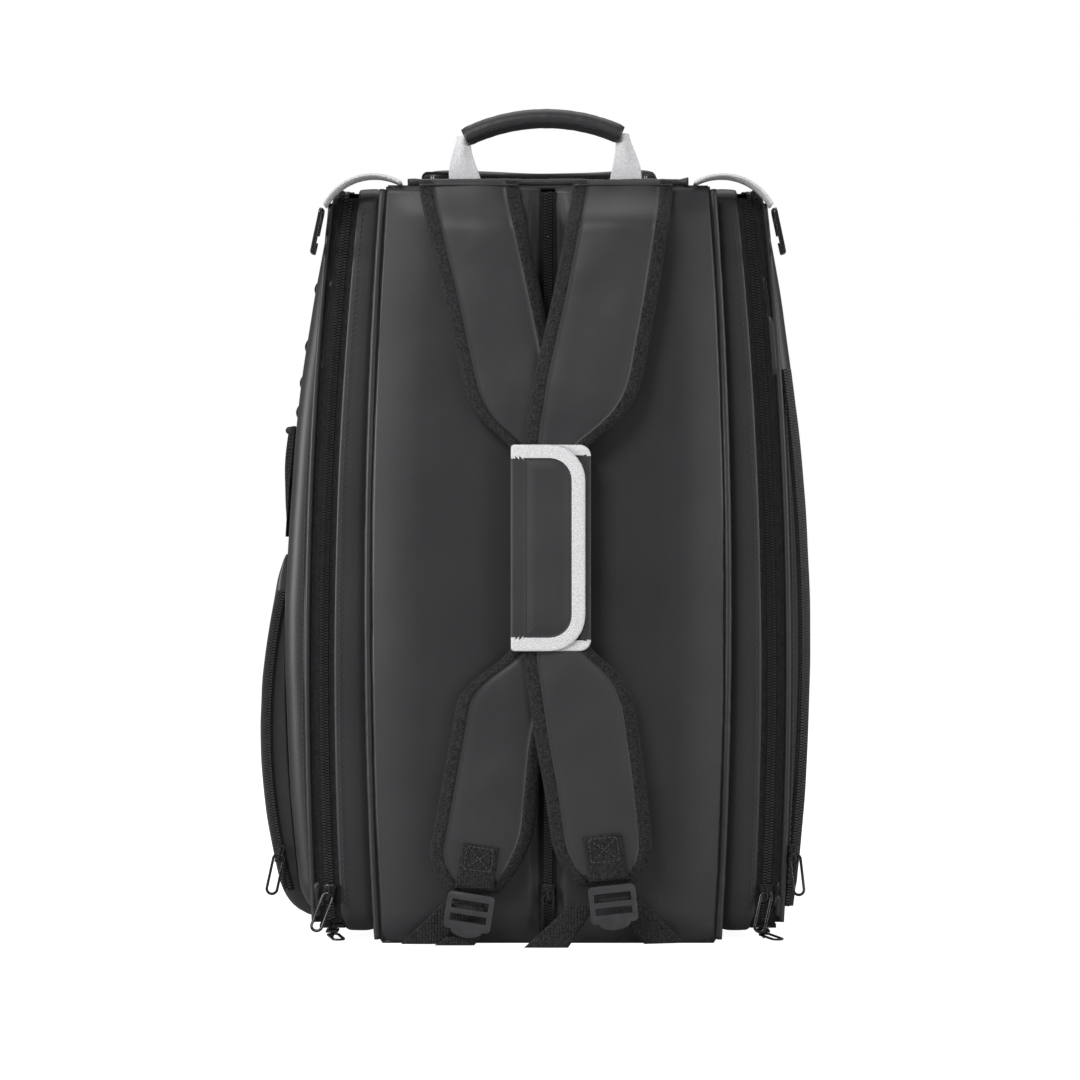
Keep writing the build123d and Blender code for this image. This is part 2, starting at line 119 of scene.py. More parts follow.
def soft_light(name, place, target, size, power):
    """A square area light aimed at a point."""
    data = bpy.data.lights.new(name, "AREA")
    data.size = size
    data.energy = power
    lamp = linked(name, data)
    lamp.location = place
    lamp.rotation_euler = (Vector(target) - Vector(place)).to_track_quat("-Z", "Y").to_euler()


middle = (0, 0, bag_height / 2)
soft_light("key", (-0.8, -2.0, 1.7), middle, 0.8, 30)
soft_light("fill", (1.5, -2.2, 0.5), middle, 1.0, 9)
soft_light("left_rake", (-1.8, -0.9, 0.5), middle, 0.6, 30)
soft_light("right_rake", (1.8, -0.7, 0.6), middle, 0.6, 16)
soft_light("top", (0.0, 0.3, 2.2), middle, 1.6, 20)

# %% [markdown]
# Every finish is built the same way: a shader, a colour that drifts a little, and a fine
# relief. Patterns are in metres on Object coordinates, so a weave has its true pitch on every
# piece. Bands need a scale worked out from their pitch.


# %% Building blocks for finishes
class Finish:
    """A material being built, with its patterns on Object coordinates."""

    def __init__(self, name, roughness, sheen, specular):
        self.material = bpy.data.materials.new(name)
        self.material.use_nodes = True
        self.nodes = self.material.node_tree.nodes
        self.link = self.material.node_tree.links.new
        self.inputs = self.nodes["Principled BSDF"].inputs
        self.inputs["Roughness"].default_value = roughness
        self.inputs["Sheen Weight"].default_value = sheen
        self.inputs["Specular IOR Level"].default_value = specular
        self.place = self.nodes.new("ShaderNodeTexCoord").outputs["Object"]

    def texture(self, kind, output, place, **settings):
        """One output of a texture, with its inputs set by name."""
        node = self.nodes.new("ShaderNodeTex" + kind)
        for socket, value in settings.items():
            node.inputs[socket].default_value = value
        self.link(place, node.inputs["Vector"])
        return node.outputs[output]

    def drift(self, dark, light, scale, start=0.3):
        """Lets the colour wander between two shades."""
        cloud = self.texture("Noise", "Fac", self.place, Scale=scale, Detail=4)
        ramp = self.nodes.new("ShaderNodeValToRGB")
        stops = ramp.color_ramp.elements
        for stop, position, colour in zip(stops, (start, 0.7), (dark, light)):
            stop.position = position
            stop.color = (*colour, 1)
        self.link(cloud, ramp.inputs["Fac"])
        self.link(ramp.outputs["Color"], self.inputs["Base Color"])

    def relief(self, heights, depth, strength):
        """Adds a bump from one or more height outputs, summed."""
        total = heights[0]
        for height in heights[1:]:
            add = self.nodes.new("ShaderNodeMath")
            add.operation = "ADD"
            self.link(total, add.inputs[0])
            self.link(height, add.inputs[1])
            total = add.outputs[0]
        bump = self.nodes.new("ShaderNodeBump")
        bump.inputs["Distance"].default_value = depth
        bump.inputs["Strength"].default_value = strength
        self.link(total, bump.inputs["Height"])
        self.link(bump.outputs["Normal"], self.inputs["Normal"])

    def ribs(self, direction, pitch, slant):
        """Ribs of one pitch across one axis, after a turn about Y in degrees."""
        mapping = self.nodes.new("ShaderNodeMapping")
        mapping.inputs["Rotation"].default_value = (0, radians(slant), 0)
        self.link(self.place, mapping.inputs["Vector"])
        scale = 2 * pi / (20 * pitch)
        wave = self.texture("Wave", "Fac", mapping.outputs["Vector"], Scale=scale)
        wave.node.bands_direction = direction
        return wave


# %% [markdown]
# The body is a soft-touch coated cloth. It is nearly black with a silky grazing sheen and a
# grain so fine that only highlights show it. The padded straps use the same cloth, a shade
# lighter, because they face the light.


# %% Coated cloth
def coated_cloth(name, dark, light, roughness):
    finish = Finish(name, roughness, 0.06, 0.4)
    finish.drift(dark, light, 14)
    grain = finish.texture("Noise", "Fac", finish.place, Scale=1500, Detail=2)
    pores = finish.texture("Voronoi", "Distance", finish.place, Scale=900)
    finish.relief([grain, pores], 0.12 * mm, 0.35)
    return finish.material


body_cloth = coated_cloth("coated_cloth", (0.014, 0.014, 0.016), (0.020, 0.020, 0.022), 0.46)
strap_cloth = coated_cloth("strap_cloth", (0.017, 0.017, 0.019), (0.024, 0.024, 0.026), 0.5)
print("finishes", body_cloth.name, strap_cloth.name)

# %% [markdown]
# Webbing shows ribs across its length and fine cords along it. The binding round the straps
# is a twill, whose ribs run on the slant. The zip tape has a closer weave.


# %% Woven finishes
def woven(name, dark, light, across, along, depth, slant=0):
    """A weave: ribs at one pitch along Z and another along X and Y, turned by a slant."""
    finish = Finish(name, 0.8, 0.03, 0.16)
    pitches = (("Z", across), ("X", along), ("Y", along))
    heights = [finish.ribs(axis, pitch * mm, slant) for axis, pitch in pitches]
    finish.drift(dark, light, 700, 0.35)
    finish.relief(heights, depth * mm, 0.6)
    return finish.material


soot, ash = (0.008, 0.008, 0.009), (0.03, 0.03, 0.032)
black_webbing = woven("black_webbing", soot, ash, 1.5, 2.1, 0.5)
white_webbing = woven("white_webbing", (0.52, 0.52, 0.54), (0.64, 0.64, 0.65), 1.1, 1.4, 0.2)
twill_binding = woven("twill_binding", (0.006, 0.006, 0.007), ash, 1.3, 1.3, 0.3, 45)
white_binding = woven("white_binding", (0.55, 0.55, 0.56), (0.68, 0.68, 0.69), 1.2, 1.2, 0.25, 45)
zip_tape = woven("zip_tape", (0.007, 0.007, 0.008), (0.02, 0.02, 0.022), 0.7, 0.7, 0.12)
print("last weave", zip_tape.name)

# %% [markdown]
# Zip teeth and the lacquered sliders are glossy and black. The ladder locks are moulded and
# only half as shiny. Each has a little unevenness, so that its highlights are not perfect.


# %% Hard finishes
def hard(name, dark, light, roughness, metallic, depth):
    finish = Finish(name, roughness, 0.0, 0.5)
    finish.inputs["Metallic"].default_value = metallic
    finish.drift(dark, light, 160)
    skin = finish.texture("Noise", "Fac", finish.place, Scale=2200)
    finish.relief([skin], depth * mm, 0.25)
    return finish.material


jet = (0.012, 0.012, 0.013)
teeth_black = hard("teeth_black", jet, (0.02, 0.02, 0.022), 0.28, 0.0, 0.05)
lacquer = hard("lacquer", jet, (0.022, 0.022, 0.024), 0.22, 0.4, 0.03)
moulded = hard("moulded_plastic", (0.022, 0.022, 0.024), (0.034, 0.034, 0.037), 0.42, 0.0, 0.08)
thread_grey = hard("thread", (0.03, 0.03, 0.032), (0.05, 0.05, 0.054), 0.6, 0.0, 0.05)

# %% [markdown]
# The seams of the bag are shallow arcs. Each is given by its two ends and how far it bows
# out, which fixes the centre and radius, and then its place at any height.


# %% Measuring the seams
class Seam:
    """An arc up a side, asked for x at a height, all in metres."""

    def __init__(self, low, top, bulge):
        (low_x, low_z), (top_x, top_z) = low, top
        chord = hypot(top_x - low_x, top_z - low_z)
        self.radius = (chord**2 / 4 + bulge**2) / (2 * bulge)
        back = self.radius - bulge
        self.x = (low_x + top_x) / 2 - back * (top_z - low_z) / chord
        self.z = (low_z + top_z) / 2 - back * (low_x - top_x) / chord

    def __call__(self, z):
        return self.x + sqrt(self.radius**2 - (z - self.z) ** 2)


main_seam = Seam((119 * mm, 0), (115 * mm, bag_height), 9 * mm)
zip_line = Seam((157 * mm, 37 * mm), (143.5 * mm, bag_height - 10 * mm), 9.5 * mm)
side_seam = Seam((180 * mm, 40 * mm), (155 * mm, bag_height - 10 * mm), 20.6 * mm)
shell_low, shell_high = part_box("right_outer_shell")
side_low, side_top, side_front, side_back = shell_low.z, shell_high.z, shell_low.y, shell_high.y
back_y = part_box("far_panel")[1].y
print("seams at mid height", [round(s(0.27) / mm, 1) for s in (main_seam, zip_line, side_seam)])

# %% [markdown]
# Most pieces are sheets. A grid of squares is pushed into place by a rule that says where a
# point at (u, w) goes, both from 0 to 1. Solidify then gives the cloth its thickness.


# %% Helpers for sheets
sides = {"right": 1, "left": -1}


def finish_piece(name, bm, materials, body, nodes=(), thickness=0.0, offset=-1.0,
                 smooth=True):
    """Turns a bmesh into a riding piece, with a live thickness inwards from its face."""
    data = bpy.data.meshes.new(name)
    bm.to_mesh(data)
    bm.free()
    piece = linked(name, data)
    for material in materials:
        data.materials.append(material)
    for face in data.polygons:
        face.use_smooth = smooth
    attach(piece, body)
    if nodes:
        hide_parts(*nodes)
    if thickness:
        solid = piece.modifiers.new("thickness", "SOLIDIFY")
        solid.thickness = thickness
        solid.offset = offset
    return piece


def face_towards(bm, outward):
    """Turns a sheet over if most of it faces away."""
    bm.normal_update()
    lean = sum((f.normal * f.calc_area() for f in bm.faces), Vector())
    if lean.dot(Vector(outward)) < 0:
        bmesh.ops.reverse_faces(bm, faces=bm.faces)


def grid_by(rule, columns, rows, outward, wrap=False, paint=None):
    """A grid placed by rule(u, w), its faces turned towards outward; paint picks materials."""
    bm = bmesh.new()
    bmesh.ops.create_grid(bm, x_segments=columns, y_segments=rows, size=0.5)
    if paint:
        for face in bm.faces:
            spot = face.calc_center_median()
            face.material_index = paint(spot.x + 0.5, spot.y + 0.5)
    for vertex in bm.verts:
        vertex.co = Vector(rule(vertex.co.x + 0.5, vertex.co.y + 0.5))
    if wrap:
        bmesh.ops.remove_doubles(bm, verts=bm.verts, dist=1e-6)
        bmesh.ops.recalc_face_normals(bm, faces=bm.faces)
    else:
        face_towards(bm, outward)
    return bm


def close_ends(bm):
    """Fills the open ends of a wrapped grid."""
    bmesh.ops.holes_fill(bm, edges=[e for e in bm.edges if e.is_boundary], sides=0)
    bmesh.ops.recalc_face_normals(bm, faces=bm.faces)


def ease(t):
    """A smooth step from 0 to 1."""
    t = max(0.0, min(1.0, t))
    return t * t * (3 - 2 * t)


def crease(x, y, z, size, seed=0.0):
    """Cloth unevenness between -1 and 1 at a wavelength, the same on every run."""
    return noise.noise(Vector((x / size + seed, y / size, z / size)))


# %% [markdown]
# The strap-side panel is two padded halves either side of the centre zip. Foam makes each
# half swell between its seams. It is drawn as a crowned sheet: quick to rise at the folded
# edge by the zip, and pulled in again where the piping is sewn.


# %% The two halves of the main panel
panel_swell = 6.5 * mm
fold_at = 5.0 * mm


def main_half(side, sign):
    def rule(u, w):
        z = 0.5 * mm + w * (bag_height - 2.5 * mm)
        edge = main_seam(z) - 0.3 * mm
        x = fold_at + u * (edge - fold_at)
        from_zip = (x - fold_at) / (9 * mm)
        from_pipe = (edge - x) / (34 * mm)
        ends = ease(min(w, 1 - w) * 26)
        rise = ease(from_zip) * 0.55 + 0.45 * ease((x - fold_at) / (45 * mm))
        crown = panel_swell * rise * (0.35 + 0.65 * ends)
        crown *= sin(min(from_pipe, 1) * pi / 2)
        ripple = crease(x * sign, 0, z, 0.075, 3) * 0.9 * mm
        ripple += crease(x * sign, 0, z, 0.03) * 0.25 * mm
        tuck = 2.5 * mm * (1 - ease(z / (8 * mm)))
        return (sign * x, front_y - crown - ripple * ends + 0.6 * mm + tuck, z)

    bm = grid_by(rule, 56, 130, (0, -1, 0))
    finish_piece(f"{side}_main_padding", bm, [body_cloth], f"main_{side}_flap",
                 [f"main_{side}_panel"], 2.6 * mm)


for side, sign in sides.items():
    main_half(side, sign)
print("panel swell", panel_swell / mm)

# %% [markdown]
# A racket compartment's outer shell is a lofted dish, not five plates. A path runs from the
# zip along the bottom, round a generous corner, up the side and over the top. At each step
# along it, a section runs from the zip, across the face, round a soft edge, back along the
# side and in again. One grid covers it all.


# %% The path round a compartment
low_corner = 35 * mm
top_corner = 9 * mm


def side_path(t):
    """Point (x, z) and outward (x, z) direction, for t from 0 to 1 round the outside."""
    low_x = side_seam(side_low + low_corner) - low_corner
    top_x = side_seam(side_top - top_corner) - top_corner
    start = zip_line(side_low)
    finish = zip_line(side_top)
    lengths = [low_x - start, low_corner * pi / 2,
               side_top - side_low - low_corner - top_corner, top_corner * pi / 2,
               max(top_x - finish, 0)]
    travel = t * sum(lengths)
    if travel <= lengths[0]:
        return (start + travel, side_low), (0, -1)
    travel -= lengths[0]
    if travel <= lengths[1]:
        a = travel / low_corner
        return ((low_x + low_corner * sin(a), side_low + low_corner * (1 - cos(a))),
                (sin(a), -cos(a)))
    travel -= lengths[1]
    if travel <= lengths[2]:
        z = side_low + low_corner + travel
        lean = (z - side_seam.z) / side_seam.radius
        blend = ease(min(travel, lengths[2] - travel) / (30 * mm))
        return (side_seam(z), z), (cos(lean * blend), sin(lean * blend))
    travel -= lengths[2]
    if travel <= lengths[3]:
        a = travel / top_corner
        return ((top_x + top_corner * cos(a), side_top - top_corner * (1 - sin(a))),
                (cos(a), sin(a)))
    travel -= lengths[3]
    return (top_x - travel, side_top), (0, 1)


def shell_edge(z):
    """The outside of a compartment at a height, with its rounded low corner."""
    low_x = side_seam(side_low + low_corner) - low_corner
    drop = side_low + low_corner - z
    if drop <= 0:
        return side_seam(z)
    return low_x + sqrt(max(low_corner**2 - min(drop, low_corner) ** 2, 0.0))


print("half way round", [round(c / mm, 1) for c in side_path(0.5)[0]])

# %% The outer shells
edge_round = 13 * mm
zip_gap = 9.5 * mm
face_end, turn_end, side_end = 0.24, 0.40, 0.84


def outer_shell(side, sign):
    def rule(u, w):
        (px, pz), (nx, nz) = side_path(w)
        height = min(max(pz, side_low + 2 * mm), side_top - 1 * mm)
        narrow = ease((side_top - height) / (110 * mm))
        round_here = edge_round * (0.42 + 0.58 * narrow)
        inner_x = zip_line(height) + zip_gap * (0.55 + 0.45 * narrow)
        seam_pull = 0.35 + 0.65 * ease(min(w, 1 - w) * 9)
        if u < face_end:
            s = u / face_end
            x = inner_x + s * (max(px - nx * round_here, inner_x) - inner_x)
            z = height + s * (pz - nz * round_here - height)
            y = side_front - 1.6 * mm * sin(pi * min(s * 1.4, 1)) * seam_pull
        elif u < turn_end:
            a = (u - face_end) / (turn_end - face_end) * pi / 2
            x = px - nx * round_here * (1 - sin(a))
            z = pz - nz * round_here * (1 - sin(a))
            y = side_front + round_here * (1 - cos(a))
        elif u < side_end:
            s = (u - turn_end) / (side_end - turn_end)
            y = side_front + round_here + s * (side_back - side_front - round_here - edge_round)
            swell = 3.2 * mm * sin(pi * s) ** 0.7 * seam_pull * (abs(nx) > 0.5)
            x = px + nx * swell
            z = pz + nz * swell
        else:
            s = (u - side_end) / (1 - side_end)
            a = min(s / 0.5, 1) * pi / 2
            x = px - nx * edge_round * (1 - cos(a))
            z = pz - nz * edge_round * (1 - cos(a))
            y = side_back - edge_round * (1 - sin(a))
            if s > 0.5:
                r = (s - 0.5) / 0.5
                x += r * (zip_line(height) + 0.6 * mm - x)
                z += r * (height - z)
        ripple = crease(x * sign, y, z, 0.09, 7) * 1.1 * mm + crease(x, y, z, 0.035, 2) * 0.35 * mm
        ripple *= seam_pull * ease(u * 8)
        lift = 2.5 * mm * ease((w - 0.93) / 0.05)
        return (sign * (x + nx * ripple * 0.8), y, z + nz * ripple * 0.3 + lift)

    bm = grid_by(rule, 62, 160, (sign, 0, 0))
    finish_piece(f"{side}_shell_cloth", bm, [body_cloth], f"{side}_door",
                 [f"{side}_outer_shell"], 2.4 * mm)


for side, sign in sides.items():
    outer_shell(side, sign)
print("rounding", edge_round / mm)

# %% [markdown]
# Between the piping and the long zip lies a narrow gusset of the same cloth. It is one band
# that runs up the strap side, over the top, down the far side and back under the base. On
# the strap side its edge is folded over the zip tape, so it stands a little proud there.

# %% The gussets
fold_width = 6.8 * mm
bend = 9 * mm


def loop_point(w):
    """Point (y, z) and outward (y, z) round a compartment, from the foot of the strap side."""
    tall = side_top - side_low - 2 * bend
    deep = side_back - side_front - 2 * bend
    quarter = bend * pi / 2
    travel = w * (2 * tall + 2 * deep + 4 * quarter)
    sides = [((side_front, side_low + bend), (0, 1), (-1, 0), tall),
             ((side_front + bend, side_top), (1, 0), (0, 1), deep),
             ((side_back, side_top - bend), (0, -1), (1, 0), tall),
             ((side_back - bend, side_low), (-1, 0), (0, -1), deep)]
    for (y, z), way, out, length in sides:
        if travel <= length:
            return (y + way[0] * travel, z + way[1] * travel), out
        travel -= length
        if travel <= quarter:
            a = travel / bend
            centre = (y + way[0] * length - out[0] * bend, z + way[1] * length - out[1] * bend)
            turn = (out[0] * cos(a) + way[0] * sin(a),
                    out[1] * cos(a) + way[1] * sin(a))
            return (centre[0] + turn[0] * bend, centre[1] + turn[1] * bend), turn
        travel -= quarter
    return (side_front, side_low + bend), (-1, 0)


def gusset(side, sign):
    def rule(u, w):
        (y, z), (out_y, out_z) = loop_point(w)
        x0 = main_seam(z) + 0.6 * mm
        far_share = ease((out_y - 0.1) / 0.5)
        x1 = zip_line(z) - fold_width + far_share * (fold_width - 0.4 * mm)
        x = x0 + u * (x1 - x0)
        crown = 1.6 * mm * ease(u * 2.6) + 0.7 * mm * sin(pi * u)
        if u > 0.93:
            crown *= sqrt(max(0.0, 1 - ((u - 0.93) / 0.07) ** 2)) * 0.75 + 0.25
        crown += crease(x * sign, y, z, 0.06, 5) * 0.45 * mm
        crown += 2.5 * mm * max(out_z, 0) * ease(u * 5)
        crown += 3.4 * mm * max(-out_z, 0) * ease(min(u, 1 - u) * 5)
        return (sign * x, y + out_y * crown, z + out_z * crown)

    bm = grid_by(rule, 22, 300, (0, 0, 0), wrap=True)
    if sum(f.normal.y for f in bm.faces if f.calc_center_median().y < side_front + mm) > 0:
        bmesh.ops.reverse_faces(bm, faces=bm.faces)
    finish_piece(f"{side}_gusset_cloth", bm, [body_cloth], "bag", [f"{side}_gusset"], 1.6 * mm)


for side, sign in sides.items():
    gusset(side, sign)
print("strip width", round((zip_line(0.3) - main_seam(0.3)) / mm, 1))

# %% [markdown]
# A zip is two woven tapes with a row of teeth on each. The teeth are hundreds of tiny blocks
# of eight corners. A list of spots says where they sit: a point, the way along the zip and
# the way out of it. The same list serves the long zips, the pockets and the straight runs.


# %% Helpers for zips
tooth_pitch = 2.0 * mm
tooth_size = (2.9 * mm, 1.15 * mm, 1.7 * mm)


def along_seam(place, low, top):
    """Spots up a seam on a strap-side face: place(z) gives a point."""
    count = int((top - low) / tooth_pitch)
    spots = []
    for i in range(count):
        z = low + (i + 0.5) * (top - low) / count
        point = Vector(place(z))
        ahead = Vector(place(z + 0.5 * mm))
        spots.append((point, (ahead - point).normalized(), Vector((0, -1, 0))))
    return spots


def along_line(start, end, out):
    """Spots on a straight run."""
    start, end = Vector(start), Vector(end)
    count = int((end - start).length / tooth_pitch)
    way = (end - start).normalized()
    return [(start + (end - start) * ((i + 0.5) / count), way, Vector(out)) for i in range(count)]


def teeth(name, spots, hand, body, nodes=()):
    """One row of teeth; hand is the side of the zip's line that it lies on."""
    bm = bmesh.new()
    across_size, along_size, height = tooth_size
    for point, way, out in spots:
        across = way.cross(out).normalized() * hand
        shift = way * (tooth_pitch / 4 * hand)
        centre = point + across * (across_size / 2 + 0.05 * mm) + out * height / 2 + shift
        turn = Matrix((across, way, out)).transposed().to_4x4()
        size = Matrix.Diagonal((across_size, along_size, height, 1))
        bmesh.ops.create_cube(bm, size=1, matrix=Matrix.Translation(centre) @ turn @ size)
    finish_piece(name, bm, [teeth_black], body, nodes, smooth=False)


def tape(name, place, low, top, x0, x1, body, sign):
    """A flat woven strip beside a seam, from x0 to x1 off its line."""
    def rule(u, w):
        z = low + w * (top - low)
        x = place(z)[0] * sign + x0 + u * (x1 - x0)
        lift = 0.25 * mm * sin(pi * u)
        return (sign * x, place(z)[1] - lift, z)

    bm = grid_by(rule, 6, 110, (0, -1, 0))
    finish_piece(name, bm, [zip_tape], body, (), 0.5 * mm)


# %% [markdown]
# Each long zip runs up the strap-side face, and along the base and the top to the far side.
# The inner half is sewn to the bag and the outer half to the shell, so the two halves ride on
# different bodies and part when the compartment opens.

# %% The long zips
run_start = side_front + 8 * mm
run_end = side_back - 9 * mm
tape_face = side_front - 0.7 * mm


def long_zip(side, sign):
    place = lambda z: (sign * zip_line(z), tape_face, z)
    spots = along_seam(place, side_low + 4 * mm, side_top - 4 * mm)
    under_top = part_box(f"{side}_under_slider")[1].z
    base_z = min(side_low - 0.8 * mm, under_top + tooth_size[2] - 0.1 * mm)
    crest_z = side_top + 0.8 * mm
    low_x = sign * zip_line(side_low)
    top_x = sign * zip_line(side_top)
    under = along_line((low_x, run_start, base_z), (low_x, run_end, base_z), (0, 0, -1))
    over = along_line((top_x, run_start, crest_z), (top_x, run_end, crest_z), (0, 0, 1))
    for half, body, hand in (("inner", "bag", -1), ("outer", f"{side}_door", 1)):
        face_hand = -hand * sign
        teeth(f"{side}_{half}_teeth", spots, face_hand, body, [f"{side}_zip_{half}"])
        teeth(f"{side}_{half}_base_teeth", under, face_hand, body)
        teeth(f"{side}_{half}_top_teeth", over, -face_hand, body)
        low, high = (-10 * mm, -0.2 * mm) if half == "inner" else (0.2 * mm, 10.5 * mm)
        tape(f"{side}_{half}_tape", place, side_low + 2 * mm, side_top - 3 * mm, low, high, body,
             sign)
        for end, x, z, out in (("base", low_x, base_z + 0.3 * mm, -1),
                               ("top", top_x, crest_z - 0.3 * mm, 1)):
            reach = -sign * 9.5 * mm if half == "inner" else sign * 8.5 * mm

            def run(u, w, x=x, z=z, reach=reach):
                y = side_front + 2 * mm + w * (side_back - side_front - 6 * mm)
                return (x + copysign(0.2 * mm, reach) + u * reach, y, z)

            bm = grid_by(run, 4, 60, (0, 0, out))
            finish_piece(f"{side}_{half}_{end}_tape", bm, [zip_tape], body, (),
                         max(0.5 * mm, side_low - z))


for side, sign in sides.items():
    long_zip(side, sign)
print("teeth on one long zip", int((side_top - side_low) / tooth_pitch) * 2)

# %% The centre zip
def centre_zip():
    low = 8 * mm
    top = bag_height - 5 * mm
    place = lambda z: (0, front_y + 0.6 * mm, z)
    spots = along_seam(place, low, top)
    for side, hand in sides.items():
        teeth(f"main_{side}_teeth", spots, -hand, f"main_{side}_flap", [f"main_{side}_tape"])
        low_x, high_x = (0.2 * mm, 8 * mm) if hand > 0 else (-8 * mm, -0.2 * mm)
        tape(f"main_{side}_zip_cloth", place, low, top, low_x, high_x, f"main_{side}_flap", 1)


centre_zip()
print("centre zip to", round(bag_height - 5 * mm, 3))

# %% [markdown]
# A shoulder strap is foam in coated cloth with a twill binding folded over its edge. It is
# lofted: at each height a ring of points goes round the strap, with fixed distances from its
# edges, so the binding keeps one width while the strap swells and narrows.


# %% Outline of the straps
def polyline_at(points, z):
    """x on a line of (x, z) points that rises in z, smoothed at its corners."""
    pts = sorted(points, key=lambda p: p[1])
    if z <= pts[0][1]:
        return pts[0][0]
    for (x0, z0), (x1, z1) in zip(pts, pts[1:]):
        if z <= z1:
            return x0 + (x1 - x0) * (z - z0) / (z1 - z0)
    return pts[-1][0]


def smooth_at(points, z, reach=9.0):
    """The same, averaged over a short stretch so that corners turn softly."""
    steps = (-1, -0.5, 0, 0.5, 1)
    return sum(polyline_at(points, z + s * reach) for s in steps) / len(steps)


left_strap_left = [(-92, 536), (-73, 458), (-57.5, 387), (-43, 366), (-23, 353), (-22, 280),
                   (-23, 210), (-29, 206), (-63, 181), (-74.5, 117), (-83, 71), (-85, 62),
                   (-71, 41), (-70, 38)]
left_strap_right = [(-21, 536), (-4, 458), (8, 400), (14, 350), (14, 215), (8, 200), (-4, 145),
                    (-10, 78), (-23, 50), (-36, 38)]
right_strap_left = [(18, 536), (3, 458), (-10, 401), (-17, 354), (-18, 280), (-18, 208),
                    (-8.5, 142), (-3.5, 117), (3.5, 67), (17, 48), (24, 44)]
right_strap_right = [(89, 536), (77, 458), (66, 398), (60, 383), (48, 369), (22, 350), (22, 230),
                     (28, 210), (49, 197), (61, 174), (69, 117), (73.6, 71), (71.5, 60),
                     (62, 48), (60, 44)]
binding_width = 9.5
bend_from, lift_from = 505, 520

# %% The shoulder straps
def strap_ring():
    """Distances from an edge, in mm, and height on the front, as parts of full thickness."""
    return [(0.0, 0.42), (0.5, 0.62), (1.6, 0.80), (4.0, 0.88), (7.0, 0.94),
            (binding_width - 0.3, 0.97), (binding_width, 0.90), (binding_width + 3, 0.95)]


def edges_at(left_side, right_side, z):
    """Left and right edge at a height, and how far a narrow strap shrinks the distances."""
    left, right = smooth_at(left_side, z), smooth_at(right_side, z)
    return left, right, min(1.0, (right - left) / 2 * 0.9 / (binding_width + 3))


def shoulder_strap(side, left_side, right_side, back, seed):
    low = max(min(p[1] for p in left_side), min(p[1] for p in right_side))
    top = min(max(p[1] for p in left_side), max(p[1] for p in right_side)) + 4.0
    edge_steps = strap_ring()
    rows = 170
    middle_steps = 10
    front = [("l", d, h) for d, h in edge_steps]
    front += [("m", (i + 1) / (middle_steps + 1), 1.0) for i in range(middle_steps)]
    front += [("r", d, h) for d, h in reversed(edge_steps)]
    rear = [("r", 1.5, 0.12), ("r", 9, 0.0), ("m", 0.5, 0.0), ("l", 9, 0.0), ("l", 1.5, 0.12)]
    ring = front + rear + [front[0]]

    def rule(u, w):
        kind, d, h = ring[min(int(round(u * (len(ring) - 1))), len(ring) - 1)]
        z = low + w * (top - low)
        left, right, scale = edges_at(left_side, right_side, z)
        inset = binding_width + 3
        if kind == "l":
            x = left + d * scale
        elif kind == "r":
            x = right - d * scale
        else:
            x = left + inset * scale + d * (right - left - 2 * inset * scale)
        away = min(x - left, right - x) / (right - left + 1e-6)
        crown = h * strap_thick
        if h > 0.5:
            crown += 1.4 * sin(pi * min(max((x - left) / (right - left), 0), 1))
            crown += crease(x * mm, seed, z * mm, 0.034, seed) * 1.7 * (0.3 + away * 2)
            crown += crease(x * mm, seed, z * mm, 0.012, seed + 4) * 0.25
        end = min(z - low, 6) / 6
        crown *= 0.45 + 0.55 * sqrt(max(0.0, 1 - (1 - end) ** 2))
        sink = (abs(back) - abs(front_y / mm) - 1.0) * ease((z - bend_from) / (top - bend_from))
        lift = 2.0 * ease((z - lift_from) / 20)
        return Vector((x, back - crown + sink, z + lift)) * mm

    bm = grid_by(rule, len(ring) - 1, rows, (0, -1, 0), wrap=True)
    close_ends(bm)
    for face in bm.faces:
        c = face.calc_center_median() / mm
        left, right, scale = edges_at(left_side, right_side, c.z)
        near = min(c.x - left, right - c.x)
        face.material_index = int(near < binding_width * scale or c.z < low + binding_width)
    piece = finish_piece(f"{side}_strap_padding", bm, [strap_cloth, twill_binding],
                         "shoulder_straps", [f"{side}_shoulder_strap"])


left_back, right_back = (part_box(f"{side}_shoulder_strap")[1].y / mm for side in ("left", "right"))
strap_thick = 8.0
shoulder_strap("left", left_strap_left, left_strap_right, left_back, 1.0)
shoulder_strap("right", right_strap_left, right_strap_right, right_back, 2.0)
print("straps", round(left_back, 1), round(right_back, 1))

# %% [markdown]
# Cords, pipings and the carrying grip are all tubes. A closed grid is wrapped round a line of
# points. The radius may change along the way, which gives a puckered piping or a soft end.


# %% Helper for tubes
def tube(name, line, radius, material, body, nodes=(), around=12):
    """A round piece along points in metres; radius is a number or a rule of position 0..1."""
    line = [Vector(p) for p in line]
    rows = len(line) - 1

    def rule(u, w):
        i = round(w * rows)
        way = (line[min(i + 1, rows)] - line[max(i - 1, 0)]).normalized()
        side = way.cross(Vector((0, 1, 0)))
        if side.length < 0.1:
            side = way.cross(Vector((0, 0, 1)))
        side.normalize()
        up = side.cross(way)
        r = radius(w) if callable(radius) else radius
        a = 2 * pi * u
        return line[i] + side * r * cos(a) + up * r * sin(a)

    bm = grid_by(rule, around, rows, (0, 0, 0), wrap=True)
    close_ends(bm)
    finish_piece(name, bm, [material], body, nodes)


def pucker(name, count, depth, base):
    """A radius that swells and pinches, for cord covered in gathered cloth."""
    return lambda w: base * (1 + depth * noise.noise(Vector((w * count, len(name), 0.3))))


# %% Pipings
piping_steps = 180


